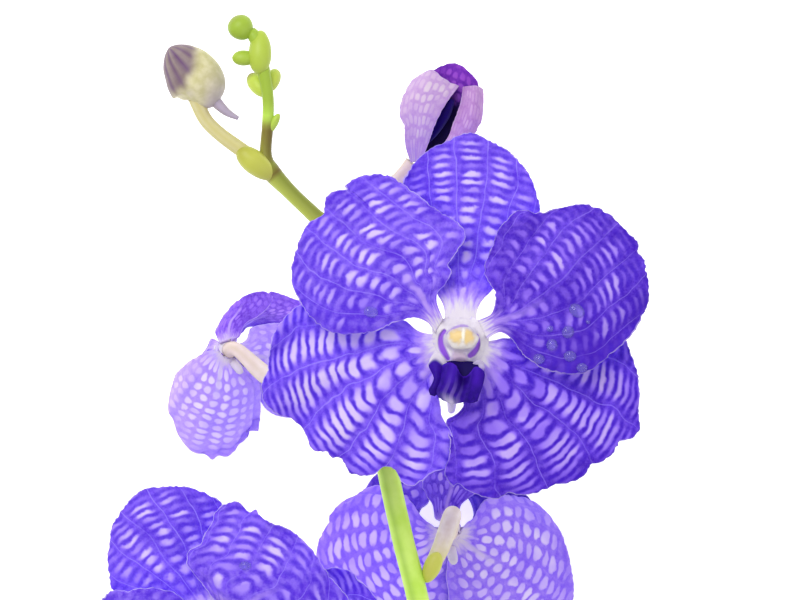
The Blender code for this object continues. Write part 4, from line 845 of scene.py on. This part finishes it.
# A closed tube of rings bridged along a path whose points end in a radius. tint gives the
# attributes of a point from its share of the path and its turn round it, 0 at the top. An attribute
# that it leaves out is 0.
def tube(name, path, rings, sides, material, slotName, tint, *nodes, swelling=None):
    even = along(path, rings)
    middles = [point.to_3d() for point in even]
    bm = bmesh.new()
    layers = {key: bm.verts.layers.float.new(key) for key in tint(0.0, 0.0)}
    loops = []
    for index, middle in enumerate(middles):
        ahead = (middles[min(index + 1, rings - 1)] - middles[max(index - 1, 0)]).normalized()
        side = ahead.cross(Vector((0.0, 0.0, 1.0)))
        side = side.normalized() if side.length > 0.05 else ahead.orthogonal().normalized()
        up = side.cross(ahead)
        share = index / (rings - 1)
        verts = bmesh.ops.create_circle(bm, segments=sides, radius=1.0)["verts"]
        for number, vert in enumerate(verts):
            turn = 2 * math.pi * number / sides
            radius = even[index][3] * (swelling(share, turn) if swelling else 1.0)
            spot = middle + (up * math.cos(turn) + side * math.sin(turn)) * radius
            vert.co = Vector((spot.x, spot.y, max(spot.z, 0.0))) * mm
            for key, value in tint(share, turn).items():
                vert[layers[key]] = value
        loops.append(verts)
    edges = [[vert.link_edges[0] for vert in loop] + [vert.link_edges[1] for vert in loop] for loop in loops]
    for nearEdges, farEdges in zip(edges, edges[1:]):
        bmesh.ops.bridge_loops(bm, edges=list(dict.fromkeys(nearEdges + farEdges)))
    for loop in (loops[0], loops[-1]):
        bmesh.ops.contextual_create(bm, geom=loop)
    bmesh.ops.recalc_face_normals(bm, faces=bm.faces)
    addPiece(name, bm, [material], slotName, *nodes)


# a path whose points the camera sees at x and y, with their height and radius
def seenPath(points):
    return [(*seenAt(x, y, height), radius) for x, y, height, radius in points]


# Looks of the undersides; every other one is "back". The back bloom's "deep" looks are painted shade under
# the front bloom. Each blade's pattern has its own seed.
behindLooks = {
    "back_bloom": {"dorsal_sepal": "deep", "petal_left": "deep", "petal_right": "deep",
                   "lateral_sepal_right": "soft"},
    "side_bloom": {"dorsal_sepal": "mauve", "petal_left": "mauve", "petal_right": "mauve",
                   "lateral_sepal_left": "pale", "lateral_sepal_right": "pale"},
}
seeds = {"first": 0.37, "step": 3.71, "halfOpen": 11.4}


def openBloom(name, claws, outlines, reliefs):
    bloom = blooms[name]
    for number, (part, outline) in enumerate(outlines.items()):
        first = Vector(outline[0][0])
        claw = sorted(claws[part], key=lambda end: (Vector(end) - first).length)
        kind = behindKind if bloom["faces"] < 0 else tepalKinds[part]
        # the front bloom's right-hand blades take the deep look, painted shade on that side
        face = "deep" if name == "front_bloom" and part.endswith("right") else "bright"
        looks = (face, behindLooks.get(name, {}).get(part, "back"))
        materials = [tepalMaterial(f"Tepal {look}, {name} {part}", tepalColours[look], kind,
                                   seeds["first"] + number * seeds["step"]) for look in looks]
        blade(f"{name}_{part}", bloom, claw, outline, reliefs[part], materials)
    place = bloomFrame(bloom)
    columnPiece(name, place, bloom["faces"])
    capPiece(name, place)
    lipPiece(name, place, bloom["faces"])
    print(name, "made")


# the lower bloom's lateral sepals are the front bloom's, whose left one alone closes in below its lip
for part in ("lateral_sepal_left", "lateral_sepal_right"):
    lowerOutlines[part] = [[forBloom(blooms["lower_bloom"], *point) for point in points]
                           for points in frontOutlines[part]]
frontOutlines["lateral_sepal_left"][0][3:] = [(-4, -18.75), (-2.2, -21.6), (-1.4, -24.5), (-1.4, -27.5)]
for part, ends in backClaws.items():
    backClaws[part] = [(x * behindShare, y * behindShare) for x, y in ends]
openBloom("front_bloom", frontClaws, frontOutlines, frontRelief)
openBloom("lower_bloom", clawsForBloom(blooms["lower_bloom"], 1.0), lowerOutlines, lowerRelief)
openBloom("back_bloom", backClaws, backOutlines, backRelief)
sideClaws = clawsForBloom(blooms["side_bloom"], sideClawReach * behindShare)
openBloom("side_bloom", sideClaws, sideOutlines, sideRelief)


# Half-open bloom: five blades that close round a hollow, and the tip of its lip.
halfOpen = {"middle": (4.2, 35.2), "height": 60.0, "faces": 1, "size": 0.6, "fall": 0.0, "grid": (64, 56),
            "lip": [(6.8, 39.8, 61.7, 0.8), (8.6, 42.6, 62.8, 1.5), (11.0, 46.8, 63.2, 1.8),
                    (12.8, 50.2, 63.0, 1.0)], "lipRings": 24, "lipSides": 20}
# for each blade: its claw's ends, its outline and its relief
halfOpenBlades = {
    "sepal_left": (((-1.6, -0.6), (1.0, -0.2)), (
        [(-3.0, 4.0), (-3.2, 8.0), (-4.2, 10.5), (-4.2, 13.0), (-3.4, 16.0)],
        [(-1.2, 19.8), (3.5, 22.4), (6.0, 20.8), (8.2, 19.4), (10.6, 18.3)],
        [(7.2, 13.6), (4.6, 8.6), (2.9, 4.0)]), (1.8, 4.4, 6.0, -2.4, 0.0, 0.2, 2.0, 0.0)),
    "sepal_right": (((1.4, -0.2), (3.6, 0.6)), (
        [(7.0, 4.2), (9.4, 9.8), (11.0, 14.4)],
        [(11.6, 18.3), (14.6, 18.4), (16.6, 17.6)],
        [(16.6, 13.6), (16.0, 9.0), (13.4, 5.0), (8.6, 2.0)]),
        (1.8, 4.2, 4.6, -2.2, 0.0, 0.2, 2.0, 0.0)),
    "dorsal_sepal": (((-0.6, 0.2), (3.0, 0.8)), (
        [(-1.4, 6.0), (-1.2, 12.0), (0.6, 18.0)],
        [(4.2, 22.6), (8.8, 24.1), (12.4, 22.8), (15.4, 19.6)],
        [(15.4, 13.0), (12.0, 7.0), (7.0, 3.4)]), (0.0, 0.4, -0.4, 0.0, 0.0, 0.2, 2.0, 0.0)),
    "petal_left": (((-1.8, 0.2), (0.8, 0.4)), (
        [(-1.8, 4.2), (-1.6, 8.0), (-1.4, 14.0)],
        [(-0.4, 17.4), (2.2, 19.0), (4.4, 18.6)],
        [(5.0, 12.0), (4.0, 6.0)]), (-1.9, -5.0, -4.0, 2.6, 0.0, 0.2, 2.0, 0.0)),
    "petal_right": (((1.2, 0.4), (3.8, 0.8)), (
        [(5.2, 6.0), (6.8, 12.0)],
        [(8.4, 18.0), (12.0, 18.4), (15.4, 16.8)],
        [(15.8, 12.6), (15.0, 8.6), (12.0, 5.2), (7.6, 2.4)]),
        (-1.9, -5.2, -3.6, 2.6, 0.0, 0.2, 2.0, 0.0)),
}
# The closed blades have fainter, longer cells; the cap look paints deep shade on the cap's foot, and the
# inside look paints the shade in the hollow.
closedKind = dict(behindKind, columns=8, ringPower=1.2, ringScale=0.1, roundness=2.6, midrib=0.0,
                  clawReach=-4.0)
capKind = dict(closedKind, clawReach=22.0)
closedLooks = {"sepal_left": "closed", "sepal_right": "closedRight", "dorsal_sepal": "cap",
               "petal_left": "inside", "petal_right": "inside"}
for part, (claw, outline, relief) in halfOpenBlades.items():
    materials = [tepalMaterial(f"Tepal {look}, half open {part}", tepalColours[look],
                               capKind if look == "cap" else closedKind, seeds["halfOpen"])
                 for look in (closedLooks[part], "inside")]
    blade("half_open_bloom_" + part, halfOpen, claw, outline, relief, materials)
# the lip's tip inside the half-open bloom is painted dark as shade
tube("half_open_bloom_lip_skin", seenPath(halfOpen["lip"]), halfOpen["lipRings"], halfOpen["lipSides"],
     lipVelvet, "lip", lambda share, turn: {"dark": 0.8}, "half_open_bloom_lip")
print("half-open bloom made")


# Flower stem: seen x and y, height and radius from its cut end to its tip.
stem = {
    "path": [(36.0, -236.0, 2.8, 2.95), (31.5, -212.0, 9.4, 2.95), (24.5, -176.0, 19.0, 2.9),
             (17.0, -138.0, 29.5, 2.9), (11.0, -106.0, 38.5, 2.9), (4.5, -75.0, 45.0, 2.85),
             (0.75, -60.0, 46.5, 2.8), (-3.0, -43.0, 48.0, 2.75), (-6.25, -25.0, 49.5, 2.7),
             (-10.0, -5.0, 51.0, 2.6), (-14.25, 14.25, 52.5, 2.3), (-21.5, 21.25, 53.5, 2.0),
             (-27.5, 27.0, 54.3, 1.95), (-32.6, 32.6, 55.0, 2.4), (-33.6, 36.5, 55.4, 1.6),
             (-33.1, 43.5, 56.0, 1.5), (-33.0, 50.5, 56.6, 1.5), (-34.3, 58.5, 57.2, 1.7),
             (-35.6, 64.5, 57.6, 1.9), (-37.5, 67.2, 57.8, 1.5)],
    "rings": 260, "sides": 28, "growthRings": 22, "growthSides": 18,
    # buds and bracts: root, tip, thickest radius,
    # then how lime, yellow and brown it is, with its brown at its tip
    "growths": [((-38.0, 65.4, 57.4), (-41.6, 70.8, 58.2), 3.3, (1.0, 0.0, 0.35)),
                ((-35.6, 60.5, 57.0), (-42.0, 60.5, 57.6), 2.0, (0.9, 0.1, 0.0)),
                ((-34.8, 67.4, 57.6), (-35.2, 56.4, 57.8), 3.0, (0.8, 0.3, 0.0)),
                ((-33.3, 51.0, 55.4), (-37.6, 56.4, 51.8), 2.3, (0.3, 0.5, 0.9)),
                ((-33.2, 52.0, 55.6), (-30.8, 57.6, 52.4), 2.0, (0.5, 0.5, 0.0)),
                ((-33.4, 41.0, 55.6), (-30.2, 46.6, 57.0), 1.1, (0.6, 0.2, 0.0)),
                ((-31.4, 30.4, 55.4), (-40.6, 37.8, 57.4), 3.1, (0.1, 0.9, 0.3)),
                ((6.4, -70.5, 45.0), (9.6, -63.2, 48.4), 2.3, (0.1, 0.9, 0.0))],
    "growthWidths": [(0.0, 0.15), (0.08, 0.5), (0.3, 0.88), (0.6, 1.0), (0.85, 0.76), (0.97, 0.34),
                     (1.0, 0.06)],
}
stemPoints = [seenAt(*point[:3]) for point in stem["path"]]
stemReach = [0.0]
for a, b in zip(stemPoints, stemPoints[1:]):
    stemReach.append(stemReach[-1] + (b - a).length)
# shares of the stem's length at its joints: under the front bloom, at the fork, and above it
hiddenJoint, forkJoint, aboveFork, nearTip = [stemReach[joint] / stemReach[-1] for joint in (10, 13, 15, 16)]


def stemTints(share, turn):
    aside = turn if turn < math.pi else turn - 2 * math.pi
    below = 1 - smooth(hiddenJoint, forkJoint, share)
    above = smooth(aboveFork - 0.004, aboveFork + 0.008, share)
    olive = smooth(hiddenJoint - 0.02, hiddenJoint, share) * (1 - above)
    scar = 0.9 * hump(share, forkJoint - 0.004, 0.003)
    dry = (0.45 + 0.35 * smooth(forkJoint, aboveFork, share)) * smooth(forkJoint, forkJoint + 0.008, share)
    # groove is painted shade; the olive's stronger side is painted shade and the yellow painted light
    return {"groove": 0.45 * hump(aside, -0.45, 0.3) * below, "lime": smooth(aboveFork, nearTip, share),
            "olive": olive * (0.6 + 0.4 * math.cos(aside - 0.9)),
            "yellow": 0.5 * olive * max(math.cos(aside + 1.2), 0.0),
            "brown": min(scar + dry * (1 - above), 0.9)}


tube("flower_stem_skin", seenPath(stem["path"]), int(stem["rings"] * detail), stem["sides"], stemSkin, "stem",
     stemTints, "flower_stem")
for number, (root, tip, radius, (lime, yellow, brown)) in enumerate(stem["growths"]):
    start, end = seenAt(*root), seenAt(*tip)
    path = [(*start.lerp(end, share), radius * width) for share, width in stem["growthWidths"]]
    tube(f"stem_growth_{number + 1}", path, stem["growthRings"], stem["growthSides"], stemSkin, "stem",
         lambda share, turn: {"lime": lime, "yellow": yellow, "brown": brown * smooth(0.6, 0.95, share)})

# Pedicels: seen x and y, height and radius, from the stem to the bloom.
pedicels = {
    "front_bloom": [(-9.6, -7.0, 51.0, 2.0), (-6.0, -8.5, 56.0, 1.9), (1.0, -11.8, 64.0, 1.7),
                    (9.6, -13.2, 71.5, 1.7)],
    "lower_bloom": [(10.0, -99.0, 39.5, 2.0), (0.0, -99.0, 46.0, 1.9), (-16.0, -96.0, 54.0, 1.7),
                    (-33.0, -90.5, 60.5, 1.7)],
    "back_bloom": [(7.6, -67.2, 45.5, 2.0), (10.4, -61.5, 45.5, 2.3), (12.6, -55.0, 43.0, 2.4),
                   (13.2, -54.0, 37.5, 2.3)],
    "side_bloom": [(-5.6, -32.6, 49.0, 2.2), (-14.0, -29.0, 47.0, 2.2), (-25.0, -23.8, 42.5, 2.2),
                   (-33.5, -18.8, 38.0, 2.4)],
    "half_open_bloom": [(-14.0, 14.0, 52.5, 1.9), (-9.5, 21.0, 55.5, 1.8), (-4.8, 26.4, 57.9, 1.7),
                        (0.0, 30.8, 58.9, 1.7), (3.05, 34.2, 59.7, 2.0)],
    "large_bud": [(-34.0, 33.6, 55.4, 1.9), (-40.6, 38.2, 56.4, 1.9), (-45.4, 41.8, 56.8, 1.8),
                  (-48.8, 45.4, 57.2, 1.8), (-51.2, 50.6, 58.4, 1.9)],
}
# where a stalk meets an open bloom: the last stretch, its two radii, and its end behind the disc
stalkEnd = {"length": 5.0, "narrow": 1.8, "wide": 2.1, "behind": 1.3, "rings": 60, "sides": 24}


def pedicelTints(share, turn):
    return {"pink": 0.7 * smooth(0.3, 1.0, share), "line": 0.15 + 0.15 * math.cos(turn * 5),
            "green": 0.8 * (1 - smooth(0.0, 0.35, share))}


def budStalkTints(share, turn):
    return {"line": 0.45 + 0.35 * math.cos(turn * 6), "green": 0.6 + 0.3 * (1 - share)}


for name, points in pedicels.items():
    path = seenPath(points)
    if name in blooms:
        bloom = blooms[name]
        place = bloomFrame(bloom)
        for back, radius in ((stalkEnd["length"], stalkEnd["narrow"]), (0.0, stalkEnd["wide"])):
            behind = stalkEnd["behind"] + (build["gap"] + back) / bloom["size"]
            path.append((*(place @ Vector((0.0, 0.0, -behind))), radius))
    tube(name + "_pedicel_skin", path, stalkEnd["rings"], stalkEnd["sides"], pedicelSkin, "pedicel",
         budStalkTints if name == "large_bud" else pedicelTints, name + "_pedicel")
print("stem and stalks made")


# Large bud: closed tepals round a spur, purple where the light falls on its upper left.
bud = {
    "body": [(-49.9, 48.3, 57.0, 2.0), (-49.6, 50.2, 57.0, 5.0), (-50.2, 53.2, 57.0, 7.2),
             (-52.6, 57.0, 57.0, 7.0), (-55.4, 60.4, 57.0, 5.0), (-57.0, 62.3, 57.0, 2.6),
             (-57.7, 63.1, 57.0, 0.5)], "rings": 48, "sides": 40,
    "spur": [(-47.0, 50.6, 57.6, 1.7), (-43.6, 47.2, 57.4, 1.1), (-40.4, 45.4, 57.2, 0.5)],
    "spurRings": 20, "spurSides": 16,
}


# how close a turn round the bud is to a fold between two tepals
def fold(turn, width):
    return hump(math.sin(1.5 * turn + 0.6), 0.0, width)


def budTints(share, turn):
    stripes = 0.82 + 0.12 * math.cos(turn * 13) + 0.1 * noise.noise(Vector((6 * turn, 2 * share, 0.0)))
    folds = 0.4 * fold(turn, 0.12) * smooth(0.1, 0.3, share)
    uneven = 0.06 * noise.noise(Vector((3 * turn, 5 * share, 0.0)))
    violet = smooth(0.5, 0.66, share - 0.2 * math.sin(turn - 0.5) + uneven)
    shaded = 0.55 * (1 - smooth(0.1, 0.5, share)) * smooth(-0.2, 0.8, math.sin(turn))
    return {"lilac": max(shaded, folds * (1 - violet)), "violet": 0.95 * violet * stripes}


tube("large_bud_skin", seenPath(bud["body"]), bud["rings"], bud["sides"], budSkin, "bud", budTints,
     "large_bud", swelling=lambda share, turn: 1.0 - 0.05 * fold(turn, 0.2))
tube("large_bud_spur_skin", seenPath(bud["spur"]), bud["spurRings"], bud["spurSides"], budSkin, "bud",
     lambda share, turn: {"lilac": 0.8, "violet": 0.1})
print("bud made")


# Water drops: the blade they lie on, their middle as seen, and their half length and half width.
drops = {
    "front_bloom_petal_right": [((44.2, -2.7), 2.1, 1.6), ((42.0, -8.0), 1.6, 1.5),
                                ((38.0, -11.2), 1.5, 1.4), ((34.8, -14.8), 1.5, 1.3),
                                ((42.5, -14.0), 1.6, 1.4), ((45.5, -16.8), 1.4, 1.2),
                                ((37.5, -7.2), 0.9, 0.8), ((47.0, -5.5), 0.6, 0.5)],
    "front_bloom_petal_left": [((-7.3, -3.0), 1.8, 1.4)],
    "lower_bloom_petal_right": [((-38.7, -66.4), 1.6, 1.1)],
}
dropHeight = 0.62    # beside a drop's half width
eye = seenAt(0.0, 0.0, view["frontHeight"] + view["eyeDistance"]) * mm
for bladeName, places in drops.items():
    bm = bmesh.new()
    for (x, y), length, width in places:
        towards = seenAt(x, y, view["frontHeight"]) * mm - eye
        spot, normal, _, _ = surfaces[bladeName].ray_cast(eye, towards.normalized())
        normal = normal if normal.z > 0 else -normal
        facing = normal.to_track_quat("Z", "Y").to_matrix().to_4x4()
        place = Matrix.Translation(spot + normal * build["blade"] / 2 * mm) @ facing
        size = Matrix.Diagonal((width * mm, length * mm, dropHeight * width * mm, 1.0))
        drop = Matrix.Rotation(0.4 + x, 4, "Z") @ size
        bmesh.ops.create_icosphere(bm, subdivisions=4, radius=1.0, matrix=place @ drop)
    bmesh.ops.recalc_face_normals(bm, faces=bm.faces)
    addPiece(bladeName + "_drops", bm, [waterDrop], "tepal")
print("water drops made")


# Light table: a lit opal glass that the spray lies on, wide enough to fill the view.
table = {"halfWidth": 3.0, "below": -0.0002, "glow": 0.7}
white = (1.0, 1.0, 1.0, 1.0)
bm = bmesh.new()
bmesh.ops.create_grid(bm, x_segments=1, y_segments=1, size=table["halfWidth"])
mesh = bpy.data.meshes.new("surface")
bm.to_mesh(mesh)
bm.free()
mesh.materials.append(startMaterial("Opal glass of a light table", Roughness=0.7, Specular_IOR_Level=0.2,
                                    Base_Color=colour("F4F4F4"), Emission_Color=white,
                                    Emission_Strength=table["glow"])[0])
surface = bpy.data.objects.new("surface", mesh)
surface.location.z = table["below"]
bpy.context.scene.collection.objects.link(surface)

# Soft light: a wide panel high at the upper left, a weaker one at the lower right, and a white room.
lightAim = Vector((0.0, 0.05, 0.0))
for name, place, size, power in (("key", (-0.5, 0.7, 1.3), 0.9, 14.0), ("fill", (0.9, -0.5, 1.1), 1.0, 4.0)):
    light = bpy.data.objects.new(name, bpy.data.lights.new(name, "AREA"))
    light.data.size = size
    light.data.energy = power
    light.location = place
    light.rotation_euler = (lightAim - light.location).to_track_quat("-Z", "Y").to_euler()
    bpy.context.scene.collection.objects.link(light)
world = bpy.data.worlds.new("Soft room")
world.use_nodes = True
world.node_tree.nodes["Background"].inputs["Color"].default_value = white
world.node_tree.nodes["Background"].inputs["Strength"].default_value = 0.6
bpy.context.scene.world = world
bpy.context.scene.view_settings.view_transform = "Standard"

camera = bpy.data.objects.new("camera", bpy.data.cameras.new("camera"))
camera.data.sensor_width = 36.0
camera.data.lens = view["lens"]
camera.data.clip_end = 10.0
camera.location = eye
bpy.context.scene.collection.objects.link(camera)
bpy.context.scene.camera = camera

print("scene made")
